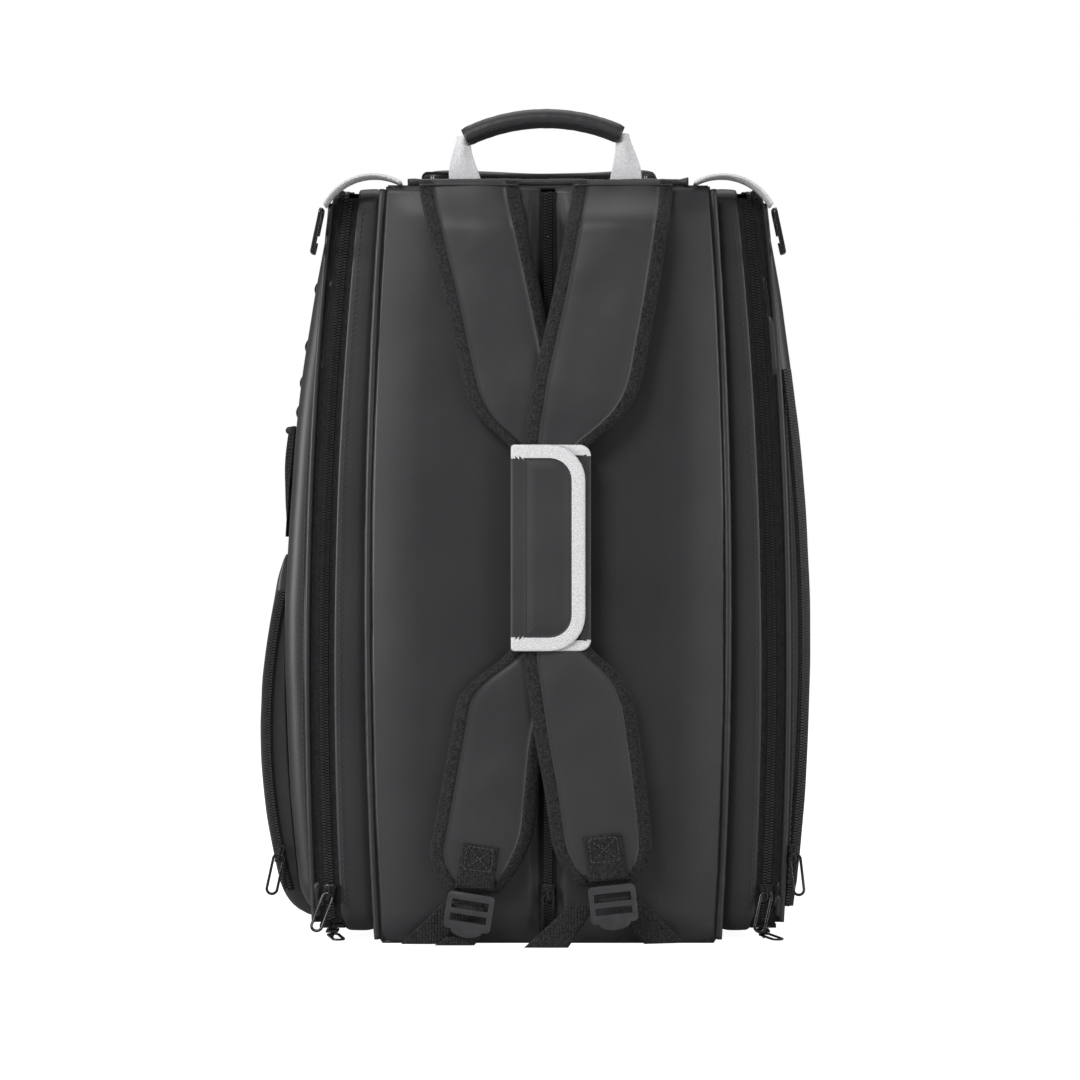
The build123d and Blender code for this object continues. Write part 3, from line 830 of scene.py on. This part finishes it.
def pipings(side, sign):
    main_line = []
    outer_line = []
    for i in range(piping_steps + 1):
        z = 3 * mm + i / piping_steps * (bag_height - 6 * mm)
        main_line.append((sign * (main_seam(z) + 2.4 * mm), front_y + 1.4 * mm, z))
        z = 13 * mm + i / piping_steps * (side_top - 20 * mm)
        outer_line.append((sign * (zip_line(z) + 12 * mm), side_front - 1.6 * mm, z))
    tube(f"{side}_main_piping", main_line, pucker(side, 60, 0.12, 2.3 * mm), body_cloth, "bag",
         ["main_piping"])
    tube(f"{side}_outer_cord", outer_line, pucker(side + "o", 70, 0.1, 2.0 * mm), body_cloth,
         f"{side}_door", [f"{side}_outer_piping"])


for side, sign in sides.items():
    pipings(side, sign)
print("pipings", len(sides) * 2)

# %% [markdown]
# The far panel, the top, the base and the two walls between the compartments are plain
# padded panels. Each is a sheet over the flat part, with its middle a little full. The board
# under the base is stiff, so the engineering part itself is shown.


# %% The plain panels
def panel(name, node, place, columns, rows, outward, thickness=2.6 * mm):
    bm = grid_by(place, columns, rows, outward)
    finish_piece(name, bm, [body_cloth], "bag", [node], thickness)


def puff(u, w, amount):
    return amount * ease(min(u, 1 - u) * 9) * ease(min(w, 1 - w) * 9)


def far_side(u, w):
    z = 3 * mm + w * (bag_height - 6 * mm)
    x = (2 * u - 1) * (main_seam(z) - 1 * mm)
    out = puff(u, w, 4 * mm) + crease(x, 0, z, 0.09, 11) * 0.8 * mm
    return (x, back_y + out, z)


def crest(u, w):
    y = front_y + 2 * mm + w * (back_y - front_y - 4 * mm)
    x = (2 * u - 1) * (main_seam(bag_height) - 1 * mm)
    return (x, y, bag_height + crease(x, y, 0, 0.05, 4) * 0.4 * mm)


def underside(u, w):
    y = front_y + 2 * mm + w * (back_y - front_y - 4 * mm)
    x = (2 * u - 1) * (main_seam(0) - 1 * mm)
    return (x, y, 0.2 * mm)


panel("far_padding", "far_panel", far_side, 44, 96, (0, 1, 0), 3 * mm)
panel("top_cloth", "top_panel", crest, 40, 50, (0, 0, 1))
panel("base_cloth", "base_panel", underside, 24, 30, (0, 0, -1))


def divider(side, sign):
    def rule(u, w):
        z = 2 * mm + w * (bag_height - 3 * mm)
        y = front_y + 1 * mm + u * (back_y - front_y - 2 * mm)
        return (sign * (main_seam(z) + 0.2 * mm), y, z)

    panel(f"{side}_wall_cloth", f"{side}_divider", rule, 30, 96, (sign, 0, 0))


for side, sign in sides.items():
    divider(side, sign)
print("far side at", round(back_y, 3))

# %% [markdown]
# Some outlines are rectangles with soft corners, drawn in ring by ring towards the middle:
# the wrap's flap, the stitched tabs, and the pocket on top. A ring's place in the list says
# how far it is from the edge, so a binding of one width follows every corner.


# %% Helper for ringed pieces
arc_steps = 7


def rounded_loop(x0, x1, z0, z1, radii, inset, side):
    """Points in mm round a rectangle, drawn in by an inset; radii start at the low left."""
    a0, a1, b0, b1 = x0 + inset, x1 - inset, z0 + inset, z1 - inset
    corners = []
    for k, (cx, cz) in enumerate(((a0, b0), (a1, b0), (a1, b1), (a0, b1))):
        r = max(radii[k] - inset, 0.2)
        ox = cx + r if k in (0, 3) else cx - r
        oz = cz + r if k in (0, 1) else cz - r
        for s in range(arc_steps + 1):
            a = radians(180 + 90 * k + 90 * s / arc_steps)
            corners.append((ox + r * cos(a), oz + r * sin(a)))
    loop = []
    for k in range(4):
        part = corners[k * (arc_steps + 1):(k + 1) * (arc_steps + 1)]
        ahead = corners[((k + 1) * (arc_steps + 1)) % len(corners)]
        loop += part
        x, z = part[-1]
        loop += [(x + (ahead[0] - x) * s / side, z + (ahead[1] - z) * s / side)
                 for s in range(1, side)]
    return loop


def ringed(rings, outward, bands=None):
    """Rings of 3-D points in mm joined into one sheet; bands gives a material per ring."""
    columns = len(rings[0])
    last = len(rings) - 1

    def rule(u, w):
        return Vector(rings[min(round(w * last), last)][round(u * columns) % columns]) * mm

    paint = (lambda u, w: bands[min(int(w * last), last - 1)]) if bands else None
    bm = grid_by(rule, columns, last, outward, wrap=True, paint=paint)
    face_towards(bm, outward)
    return bm


def spine(x0, x1, z0, z1, loop, side):
    """The loop shrunk onto the upright middle line, each point meeting its mirror point."""
    half = (x1 - x0) / 2
    points = []
    for k, (_, z) in enumerate(loop):
        level = (z + loop[(2 * arc_steps + side - k) % len(loop)][1]) / 2
        points.append((x0 + half, min(max(level, z0 + half), z1 - half)))
    return points


def shrunk(ring, core, share):
    """The (x, z) of a ring, moved part of the way to its core."""
    return [(p[0] + (c[0] - p[0]) * share, p[1] + (c[1] - p[1]) * share)
            for p, c in zip(ring, core)]


def cushion(name, box, radii, y, swell, edge, body, nodes, thickness, seed, bare):
    """A padded patch on the strap side, bound round its edge except on the bare sides."""
    x0, x1, z0, z1 = box
    side_steps = 144
    binding = [0, 0.5, 1.4, 3.0, edge * 0.6, edge - 0.8, edge]
    insets = binding + [edge + 0.4, edge + 2, edge + 5]
    loops = [rounded_loop(*box, radii, d, side_steps) for d in insets]
    base = loops[-1]
    core = spine(*box, base, side_steps)
    loops += [shrunk(base, core, share) for share in (0.25, 0.5, 0.75, 1.0)]
    rings = []
    for i, loop in enumerate(loops):
        d = insets[i] if i < len(insets) else insets[-1] + 6
        rise = sqrt(max(0.0, 1 - (1 - min(d, 1.4) / 1.4) ** 2)) * 0.9
        if d > edge:
            rise = 0.3 + swell * ease((d - edge) / 7)
        ring = []
        for x, z in loop:
            wave = crease(x * mm, seed, z * mm, 0.025, seed) * 0.5 * min(1, d / 5)
            ring.append((x, y - rise - wave, z))
        rings.append(ring)
    count = len(binding) - 1
    bands = [1] * count + [0] * (len(rings) - 1 - count)
    bm = ringed(rings, (0, -1, 0), bands)
    for face in bm.faces:
        x, _, z = face.calc_center_median() / mm
        middle = z0 + edge < z < z1 - edge
        if middle and (("left" in bare and x < x0 + edge + 0.5)
                       or ("right" in bare and x > x1 - edge - 0.5)):
            face.material_index = 0
    return finish_piece(name, bm, [strap_cloth, white_binding], body, nodes, thickness)


# %% [markdown]
# The shoulder straps are held together by a wrap handle. A sleeve runs behind both straps and
# a flap folds over them from the left. The flap has a white binding on three sides. The sleeve
# has one along its low and high edges, which peeps out beyond the flap's rounded corners.

# %% The wrap handle
def front_box(node):
    """Left, right, low and high of a node in mm, and the y of its front."""
    low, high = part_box(node)
    return (low.x / mm, high.x / mm, low.z / mm, high.z / mm), low.y / mm


flap_box, flap_y = front_box("wrap_flap")
wrap_flap = cushion("wrap_flap_padding", flap_box, (3, 25, 25, 3), flap_y + 1.2, 1.6, 9.5,
                    "wrap_cover", ["wrap_flap"], 1.8 * mm, 3.0, ("left",))
tongue_box, tongue_y = front_box("wrap_sleeve")
cushion("wrap_tongue", tongue_box, (2, 8, 8, 2), tongue_y + 1.0, 0.3, 7.5, "shoulder_straps",
        ["wrap_sleeve"], 1.2 * mm, 5.0, ("left", "right"))
sleeve_low, sleeve_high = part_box("wrap_sleeve")


def sleeve_back(u, w):
    """Down the left of the straps and across behind them."""
    x0, x1 = sleeve_low.x, sleeve_high.x - 4 * mm
    near, far = sleeve_low.y + 1.5 * mm, sleeve_high.y
    z = sleeve_low.z + w * (sleeve_high.z - sleeve_low.z)
    deep, wide = far - near, x1 - x0
    travel = u * (deep + wide)
    if travel < deep:
        return (x0 - 0.5 * mm * sin(pi * travel / deep), near + travel, z)
    return (x0 + travel - deep, far, z)


bm = grid_by(sleeve_back, 24, 40, (-1, 1, 0))
finish_piece("wrap_sleeve_cloth", bm, [strap_cloth], "shoulder_straps", (), 1.4 * mm)
print("wrap handle", [round(v, 1) for v in flap_box])

# %% [markdown]
# Each strap ends in a black tab, sewn on with a crossed square of thread. Stitches anywhere
# are short blocks of thread laid along a line of points.


# %% Stitches and flat webbing
def stitches(name, line, body, length=2.2, pitch=3.2, width=0.55):
    """A row of stitches along points in mm, on the strap side."""
    bm = bmesh.new()
    out = Vector((0, -1, 0))
    for start, end in zip(line, line[1:]):
        start, end = Vector(start), Vector(end)
        way = (end - start).normalized()
        across = way.cross(out).normalized()
        count = max(1, round((end - start).length / pitch))
        for i in range(count):
            centre = start + (end - start) * ((i + 0.5) / count) + out * 0.1
            turn = Matrix((across, way, out)).transposed().to_4x4()
            size = Matrix.Diagonal((width, length, 0.5, 1))
            spot = Matrix.Translation(centre) @ turn @ size
            bmesh.ops.create_cube(bm, size=1, matrix=spot)
    bmesh.ops.scale(bm, vec=(mm, mm, mm), verts=bm.verts)
    finish_piece(name, bm, [thread_grey], body, smooth=False)


def webbing(name, corners, y, body, nodes=(), steps=(10, 10), thickness=1.5, bow=0.5):
    """A flat band between four (x, z) corners in mm: low left, low right, high right, high left."""
    (ax, az), (bx, bz), (cx, cz), (dx, dz) = corners

    def rule(u, w):
        x = (ax + (bx - ax) * u) * (1 - w) + (dx + (cx - dx) * u) * w
        z = (az + (bz - az) * u) * (1 - w) + (dz + (cz - dz) * u) * w
        lift = bow * sin(pi * u) ** 0.5
        return Vector((x, y - lift, z)) * mm

    bm = grid_by(rule, *steps, (0, -1, 0))
    finish_piece(name, bm, [black_webbing], body, nodes, thickness * mm)


def lerp2(p, q, t):
    return (p[0] + (q[0] - p[0]) * t, p[1] + (q[1] - p[1]) * t)


# %% The strap tabs
def tab(name, corners, y, nodes):
    webbing(name, corners, y, "shoulder_straps", nodes, (14, 14), bow=0.6)
    low_left, low_right, high_right, high_left = corners
    inner = []
    for u, w in ((0.14, 0.42), (0.86, 0.42), (0.86, 0.93), (0.14, 0.93)):
        x, z = lerp2(lerp2(low_left, low_right, u), lerp2(high_left, high_right, u), w)
        inner.append((x, y - 0.7, z))
    a, b, c, d = inner
    stitches(name + "_thread", [a, b, c, d, a, c], "shoulder_straps")
    stitches(name + "_cross", [b, d], "shoulder_straps")


tab("left_tab", [(-65.7, 43), (-38.3, 41), (-34.4, 71), (-59.6, 74.9)],
    left_back - strap_thick - 2.5, ["strap_tabs"])
tab("right_tab", [(28.4, 47.6), (56.8, 50.4), (51, 82.4), (24.1, 79.5)],
    right_back - strap_thick - 2.5, [])
print("tab face", round(left_back - strap_thick - 2.5, 1))

# %% [markdown]
# The moulded and cast parts keep the shape of the engineering model. A copy with its edges
# softened by a bevel stands in for each, so that the light catches the corners.


# %% Bevelled copies
def softened(node, body, material, width):
    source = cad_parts[node]
    bm = bmesh.new()
    bm.from_mesh(source.data)
    bmesh.ops.transform(bm, matrix=source.matrix_world, verts=bm.verts)
    bmesh.ops.remove_doubles(bm, verts=bm.verts, dist=1e-5)
    bmesh.ops.dissolve_limit(bm, angle_limit=0.02, verts=bm.verts, edges=bm.edges)
    piece = finish_piece(node + "_softened", bm, [material], body, [node])
    bevel = piece.modifiers.new("soft edges", "BEVEL")
    bevel.width = width * mm
    bevel.segments = 2
    bevel.limit_method = "ANGLE"
    bevel.harden_normals = True


for side in ("left", "right"):
    softened(f"{side}_lock", f"{side}_lock_body", moulded, 0.7)
    softened(f"{side}_hook", f"{side}_hook_body", lacquer, 0.5)
for name in ("left", "right", "main", "left_under", "right_under", "side_pocket", "right_pocket",
             "top_pocket"):
    softened(f"{name}_slider", f"{name}_zip_slider", lacquer, 0.4)
    softened(f"{name}_pull", f"{name}_zip_pull", lacquer, 0.35)

# %% [markdown]
# Below the locks the adjuster webbing runs back to the foot of the bag. The sewn-in part hangs
# from the bag and the loose tail belongs to the straps. Each is a band with a shallow bow.

# %% The adjuster webbing
webbing_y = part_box("left_webbing")[0].y / mm + 0.5
webbing("left_webbing_band", [(-104, 1.6), (-78, 1.6), (-43, 30), (-72, 33)], webbing_y, "bag",
        ["left_webbing"], (12, 24))
webbing("right_webbing_band", [(68, 1.6), (96, 2.5), (62.5, 37), (40, 34)], webbing_y, "bag",
        ["right_webbing"], (12, 24))
webbing("left_tail", [(-80, 2), (-52, 2), (-47, 8), (-72, 8)], left_back - strap_thick - 0.3,
        "shoulder_straps", ["webbing_tails"])
webbing("right_tail", [(-17, 1.8), (14, 1.8), (34, 32), (16, 32)], right_back - strap_thick - 0.3,
        "shoulder_straps", (), (12, 22))
for side, lean in (("left", 0.16), ("right", -0.1)):
    (x0, x1, low, _), front = front_box(f"{side}_lock")
    half = 12.3
    c = (x0 + x1) / 2 + sides[side]
    for index, (z0, z1) in enumerate(((low + 25.0, low + 31.5), (low + 17.5, low + 22.5))):
        band = [(c - half, z0 + lean * half), (c + half, z0 - lean * half),
                (c + half, z1 - lean * half), (c - half, z1 + lean * half)]
        webbing(f"{side}_lock_band_{index}", band, front + 2.2, f"{side}_lock_body", (), (10, 6),
                1.2)
print("webbing at", round(webbing_y, 1))

# %% [markdown]
# The carrying handle is white webbing that folds in half as it rises and disappears into a
# padded black grip. The grip's cover is sewn along the underside, which leaves a ridge.


# %% The carrying handle
def arc_through(a, b, c, count):
    """Points on the circle through three (x, z) points in mm."""
    (x1, z1), (x2, z2), (x3, z3) = a, b, c
    turn = 2 * (x1 * (z2 - z3) + x2 * (z3 - z1) + x3 * (z1 - z2))
    s1, s2, s3 = x1**2 + z1**2, x2**2 + z2**2, x3**2 + z3**2
    ox = (s1 * (z2 - z3) + s2 * (z3 - z1) + s3 * (z1 - z2)) / turn
    oz = (s1 * (x3 - x2) + s2 * (x1 - x3) + s3 * (x2 - x1)) / turn
    r = hypot(x1 - ox, z1 - oz)
    start, end = atan2(z1 - oz, x1 - ox), atan2(z3 - oz, x3 - ox)
    steps = [start + (end - start) * i / count for i in range(count + 1)]
    return [(ox + r * cos(t), oz + r * sin(t)) for t in steps]


handle_y = (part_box("handle_grip")[0].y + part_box("handle_grip")[1].y) / 2 / mm
foot = bag_height / mm + 1
grip_arc = arc_through((-60, foot + 37), (-4, foot + 50.8), (53, foot + 39), 72)


def grip_radius(w):
    ends = min(w, 1 - w) * 72
    return (6.3 + 0.7 * ease(ends / 3) + 0.25 * noise.noise(Vector((w * 22, 0, 0)))) * mm


tube("grip_cover", [Vector((x, handle_y, z)) * mm for x, z in grip_arc], grip_radius, body_cloth,
     "grab_handle", ["handle_grip"], around=24)
seam = [Vector((x, handle_y - 6.2, z - 3.6)) * mm for x, z in grip_arc[1:-1]]
tube("grip_seam", seam, 0.9 * mm, twill_binding, "grab_handle", (), 8)


def leg(name, end, side, base_shift, nodes):
    x0 = end[0] + side * base_shift
    x1 = end[0] + side * 0.5

    def rule(u, w):
        half = 11.8 - 6.6 * ease(w) ** 1.3
        bow = 2.2 * sin(pi * w)
        x = x0 + (x1 - x0) * ease(w) + (2 * u - 1) * half + side * bow
        z = foot - 0.4 + w * (end[1] - foot + 1.5)
        fold = 1.6 * ease(w) * cos(pi * (2 * u - 1)) - 1.0 * sin(pi * w)
        return Vector((x, handle_y - fold - 0.8, z)) * mm

    bm = grid_by(rule, 16, 26, (0, -1, 0))
    finish_piece(name, bm, [white_webbing], "grab_handle", nodes, 1.6 * mm)


leg("left_leg", grip_arc[0], -1, -1.5, ["handle_webbing"])
leg("right_leg", grip_arc[-1], 1, 2.3, [])
print("grip from", [round(v) for v in grip_arc[0]], "to", [round(v) for v in grip_arc[-1]])

# %% [markdown]
# The pocket on top is a low drum with a domed lid and a zip between them. Wall and lid are
# rings of the same rounded outline, so the zip can follow it all the way round.

# %% The pocket on top
lid_low, lid_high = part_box("top_pocket_lid")
wall_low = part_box("top_pocket_wall")[0]
drum = (lid_low.x / mm, lid_high.x / mm, lid_low.y / mm, lid_high.y / mm)
zip_z = lid_low.z / mm - 0.2
drum_steps = 22


def sagged(x, y, z, wave):
    """A height lowered across the middle of the pocket, with a little unevenness."""
    sag = 2.6 * (1 - min(abs(x + 6) / 60, 1) ** 2)
    return z + wave * (crease(x * mm, y * mm, 0, 0.045, 9) * 0.8 - sag)


def drum_ring(inset, z, wave=0.0):
    loop = rounded_loop(*drum, (18, 18, 18, 18), inset, drum_steps)
    return [(x, y, sagged(x, y, z, wave)) for x, y in loop]


foot_z = wall_low.z / mm
wall_rings = [drum_ring(0.8, foot_z), drum_ring(0.0, foot_z + 3), drum_ring(-0.4, zip_z - 5),
              drum_ring(0.2, zip_z - 3.2), drum_ring(1.4, zip_z - 2.4, 0.3)]
bm = ringed(wall_rings, (0, 0, 1))
bmesh.ops.recalc_face_normals(bm, faces=bm.faces)
finish_piece("top_pocket_side", bm, [body_cloth], "bag", ["top_pocket_wall"], 1.6 * mm, 0.0)
top_z = lid_high.z / mm
lid_rings = [drum_ring(1.4, zip_z + 2.4, 0.3), drum_ring(0.2, zip_z + 3.2, 0.4),
             drum_ring(0.0, top_z - 4.2, 0.6), drum_ring(0.7, top_z - 2.4, 0.8),
             drum_ring(2.2, top_z - 0.8, 1.0), drum_ring(4.5, top_z - 0.1, 1.0)]
lid_rings += [drum_ring(i, top_z + 0.4, 1.0) for i in (8, 12, 17.5)]
rim = lid_rings[-1]
flat_core = spine(*drum, [p[:2] for p in rim], drum_steps)
for share in (0.15, 0.3, 0.45, 0.6, 0.75, 0.9, 1.0):
    flat = shrunk(rim, flat_core, share)
    lid_rings.append([(x, y, sagged(x, y, top_z + 0.4, 1.0)) for x, y in flat])
bm = ringed(lid_rings, (0, 0, 1))
finish_piece("top_pocket_dome", bm, [body_cloth], "top_pocket_cover", ["top_pocket_lid"], 1.8 * mm)


def ring_spots(ring):
    """Spots round a closed ring in mm, facing away from its middle."""
    spots = []
    count = len(ring)
    for i in range(count):
        start, end = Vector(ring[i]) * mm, Vector(ring[(i + 1) % count]) * mm
        way = end - start
        steps = max(1, round(way.length / tooth_pitch))
        if way.length < 0.1 * mm:
            continue
        way.normalize()
        out = way.cross(Vector((0, 0, 1)))
        for s in range(steps):
            spots.append((start + (end - start) * ((s + 0.5) / steps), way, out))
    return spots


zip_ring = drum_ring(1.2, zip_z, 0.3)
spots = ring_spots(zip_ring)
teeth("top_pocket_low_teeth", spots, -1, "bag")
teeth("top_pocket_high_teeth", spots, 1, "top_pocket_cover")
for half, body, z0, z1 in (("low", "bag", -2.6, -0.1), ("high", "top_pocket_cover", 0.1, 2.6)):
    rings = [drum_ring(1.5, zip_z + z0, 0.3), drum_ring(1.3, zip_z + z1, 0.3)]
    bm = ringed(rings, (0, 0, 1))
    bmesh.ops.recalc_face_normals(bm, faces=bm.faces)
    finish_piece(f"top_pocket_{half}_tape", bm, [zip_tape], body, (), 0.5 * mm, 0.0)
print("top pocket", [round(v) for v in drum], "zip at", round(zip_z, 1))

# %% [markdown]
# Along the strap-side edge of the top, the cloth is rolled over and gathered at both ends. The
# shoulder straps are sewn in under it. A flat anchor joins each strap to the roll.

# %% The rolled edge
roll_z = bag_height / mm + 2.2
roll = []
for i in range(121):
    x = -100 + i / 120 * 200
    sag = 0.8 * noise.noise(Vector((x / 30, 0.5, 0)))
    roll.append(Vector((x, front_y / mm + 3, roll_z + sag)) * mm)


def roll_radius(w):
    gather = 1.5 * max(0, 1 - min(w, 1 - w) / 0.035)
    return (2.5 + gather * abs(sin(w * 400)) + 0.35 * noise.noise(Vector((w * 50, 2, 0)))) * mm


tube("rolled_edge", roll, roll_radius, body_cloth, "bag", ["top_binding"])
for side, x0, x1 in (("left", -91, -22), ("right", 19, 88)):
    def rule(u, w, x0=x0, x1=x1):
        x = x0 + u * (x1 - x0)
        return Vector((x, front_y / mm + 1 - w * 12.5, bag_height / mm + 0.6 - 1.4 * w)) * mm

    bm = grid_by(rule, 20, 6, (0, 0, 1))
    finish_piece(f"{side}_anchor", bm, [body_cloth], "bag", (), 1.2 * mm)
print("roll at", round(roll_z, 1))

# %% [markdown]
# A band of white webbing bows over each top corner and carries a flat hook. It is a strip
# along an arc, square to the strap side, so only its edge is seen.


# %% The hook straps
def hook_strap(side, sign):
    low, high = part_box("hook_straps")
    steps = 40
    line = arc_through((104, foot), (133, foot + 4.5), (160, foot - 16), steps)
    y0, y1 = low.y, high.y

    def rule(u, w):
        x, z = line[round(w * steps)]
        return (sign * x * mm, y0 + u * (y1 - y0), z * mm + 0.9 * mm)

    bm = grid_by(rule, 10, steps, (0, 0, 1))
    finish_piece(f"{side}_hook_webbing", bm, [white_webbing], "bag", ["hook_straps"], 1.6 * mm)


for side, sign in sides.items():
    hook_strap(side, sign)
print("bows over the corners", len(sides))

# %% [markdown]
# The left side carries a zipped pocket, a net pocket and a ladder of webbing loops. The
# zipped pocket is a second, smaller dish over the outer shell. It bows out over its own arc
# and closes in at both ends.

# %% The zipped side pocket
pocket_low, pocket_high = 12 * mm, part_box("side_pocket_shell")[1].z
pocket_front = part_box("side_pocket_shell")[0].y
pocket_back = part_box("side_pocket_shell")[1].y
pocket_bow = Seam((side_seam(pocket_low) + 11 * mm, pocket_low),
                  (side_seam(pocket_high) + 3 * mm, pocket_high), 20 * mm)


def side_pocket(u, w):
    z = pocket_low + w * (pocket_high - pocket_low)
    seat = shell_edge(z) + 0.8 * mm
    close = min(1.0, min(w * 9, (1 - w) * 12))
    full = seat + (pocket_bow(z) - seat) * sqrt(max(0.0, 1 - (1 - close) ** 2))
    r = min(8 * mm, max(full - seat, 0.2 * mm) * 0.6)
    if u < 0.2:
        x, y = seat + u / 0.2 * (full - r - seat), pocket_front
    elif u < 0.34:
        a = (u - 0.2) / 0.14 * pi / 2
        x, y = full - r + r * sin(a), pocket_front + r * (1 - cos(a))
    elif u < 0.8:
        s = (u - 0.34) / 0.46
        x, y = full, pocket_front + r + s * (pocket_back - pocket_front - 2 * r)
    elif u < 0.92:
        a = (u - 0.8) / 0.12 * pi / 2
        x, y = full - r + r * cos(a), pocket_back - r + r * sin(a)
    else:
        x, y = full - r - (u - 0.92) / 0.08 * (full - r - seat), pocket_back
    wave = crease(-x, y, z, 0.06, 13) * 1.2 * mm + crease(x, y, z, 0.025, 6) * 0.35 * mm
    return (-x - wave * ease(u * 6), y, z)


bm = grid_by(side_pocket, 50, 80, (-1, 0, 0))
finish_piece("side_pocket_cloth", bm, [body_cloth], "side_pocket", ["side_pocket_shell"],
             1.8 * mm)
print("side pocket up to", round(pocket_high, 3))

# %% The zips of the side pockets
def pocket_zip(name, body, place, low, top, tilt, node):
    """Both rows of a narrow zip on one edge, facing out between front and side."""
    out = Vector(tilt).normalized()
    spots = [(p + out * 0.2 * mm, way, out) for p, way, _ in along_seam(place, low, top)]
    teeth(name + "_teeth_a", spots, 1, body, [node])
    teeth(name + "_teeth_b", spots, -1, body)

    def rule(u, w):
        z = low + w * (top - low)
        point = Vector(place(z))
        across = Vector((0, 0, 1)).cross(out).normalized()
        return point + across * (u - 0.5) * 8 * mm

    bm = grid_by(rule, 4, 60, out)
    finish_piece(name + "_tape", bm, [zip_tape], body, (), 0.5 * mm)


pocket_zip("side_pocket_zip", "side_pocket",
           lambda z: (-(pocket_bow(z) - 6 * mm), pocket_front - 0.5 * mm, z),
           pocket_low + 22 * mm, pocket_high - 26 * mm, (-0.25, -1, 0), "side_pocket_zip")
pocket_zip("right_pocket_zip", "right_door",
           lambda z: (side_seam(z) - 5.2 * mm, side_front + 0.3 * mm, z),
           24 * mm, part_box("right_pocket_zip")[1].z, (0.35, -1, 0), "right_pocket_zip")

# %% [markdown]
# The net is a grid turned into wires, gathered into an elastic binding along its mouth. The
# loops are short bands of webbing sewn down at both ends, standing off the shell between.

# %% The net pocket and the loops
net_low, net_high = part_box("mesh_pocket")
net_seam = Seam((side_seam(net_low.z) + 2.4 * mm, net_low.z),
                (side_seam(net_high.z) + 9.4 * mm, net_high.z), 3 * mm)


def net(u, w):
    z = net_low.z + w * (net_high.z - net_low.z)
    seat = side_seam(z) + 3.4 * mm
    full = ease(min(u, 1 - u) * 7) ** 0.6
    x = seat + (net_seam(z) - seat) * full + crease(0, u, z, 0.03, 2) * 0.8 * mm * full
    return (-x, net_low.y + u * (net_high.y - net_low.y), z)


bm = grid_by(net, 60, 30, (-1, 0, 0))
bmesh.ops.wireframe(bm, faces=bm.faces, thickness=0.7 * mm, offset=0, use_replace=True,
                    use_boundary=True, use_even_offset=True)
finish_piece("net_pocket", bm, [twill_binding], "left_door", ["mesh_pocket"])
mouth = [Vector(net(i / 60, 1)) for i in range(61)]
tube("net_mouth", mouth, pucker("mouth", 40, 0.2, 2.6 * mm), twill_binding, "left_door")


def loop_band(index, z_mid, nodes):
    def rule(u, w):
        z = z_mid + (w - 0.5) * 18 * mm
        seat = side_seam(z) + 1.6 * mm
        stand = 6 * mm * sin(pi * w) ** 0.8
        return (-(seat + stand), loop_y0 + u * (loop_y1 - loop_y0), z)

    bm = grid_by(rule, 8, 20, (-1, 0, 0))
    finish_piece(f"side_loop_{index}", bm, [black_webbing], "left_door", nodes, 1.3 * mm)


loop_y0, loop_y1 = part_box("side_loops")[0].y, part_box("side_loops")[1].y
loop_heights = (475, 432, 405, 383)
for index, z_mid in enumerate(loop_heights):
    loop_band(index, z_mid * mm, ["side_loops"] if index == 0 else [])
print("net", round(net_low.z, 3), round(net_high.z, 3))

# %% [markdown]
# Rows of stitches run beside the folded edges of the gussets and beside the centre zip. They
# are what makes the panels read as sewn.


# %% Seam stitches
def seam_thread(name, place, low, top, body):
    line = [tuple(c / mm for c in place(low + (top - low) * i / 40)) for i in range(41)]
    stitches(name, line, body, 2.4, 3.6, 0.5)


for side, sign in sides.items():
    seam_thread(f"{side}_gusset_thread",
                lambda z: (sign * (zip_line(z) - fold_width - 4.2 * mm), side_front - 3.0 * mm, z),
                side_low + 12 * mm, side_top - 12 * mm, "bag")
    seam_thread(f"{side}_shell_thread",
                lambda z: (sign * (zip_line(z) + 15.5 * mm), side_front - 1.9 * mm, z),
                40 * mm, side_top - 150 * mm, f"{side}_door")

# %% [markdown]
# The stiff board in the base is the only part shown as it was engineered. It gets the moulded
# finish.

# %% Finish
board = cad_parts["base_board"]
board.data.materials.clear()
board.data.materials.append(moulded)
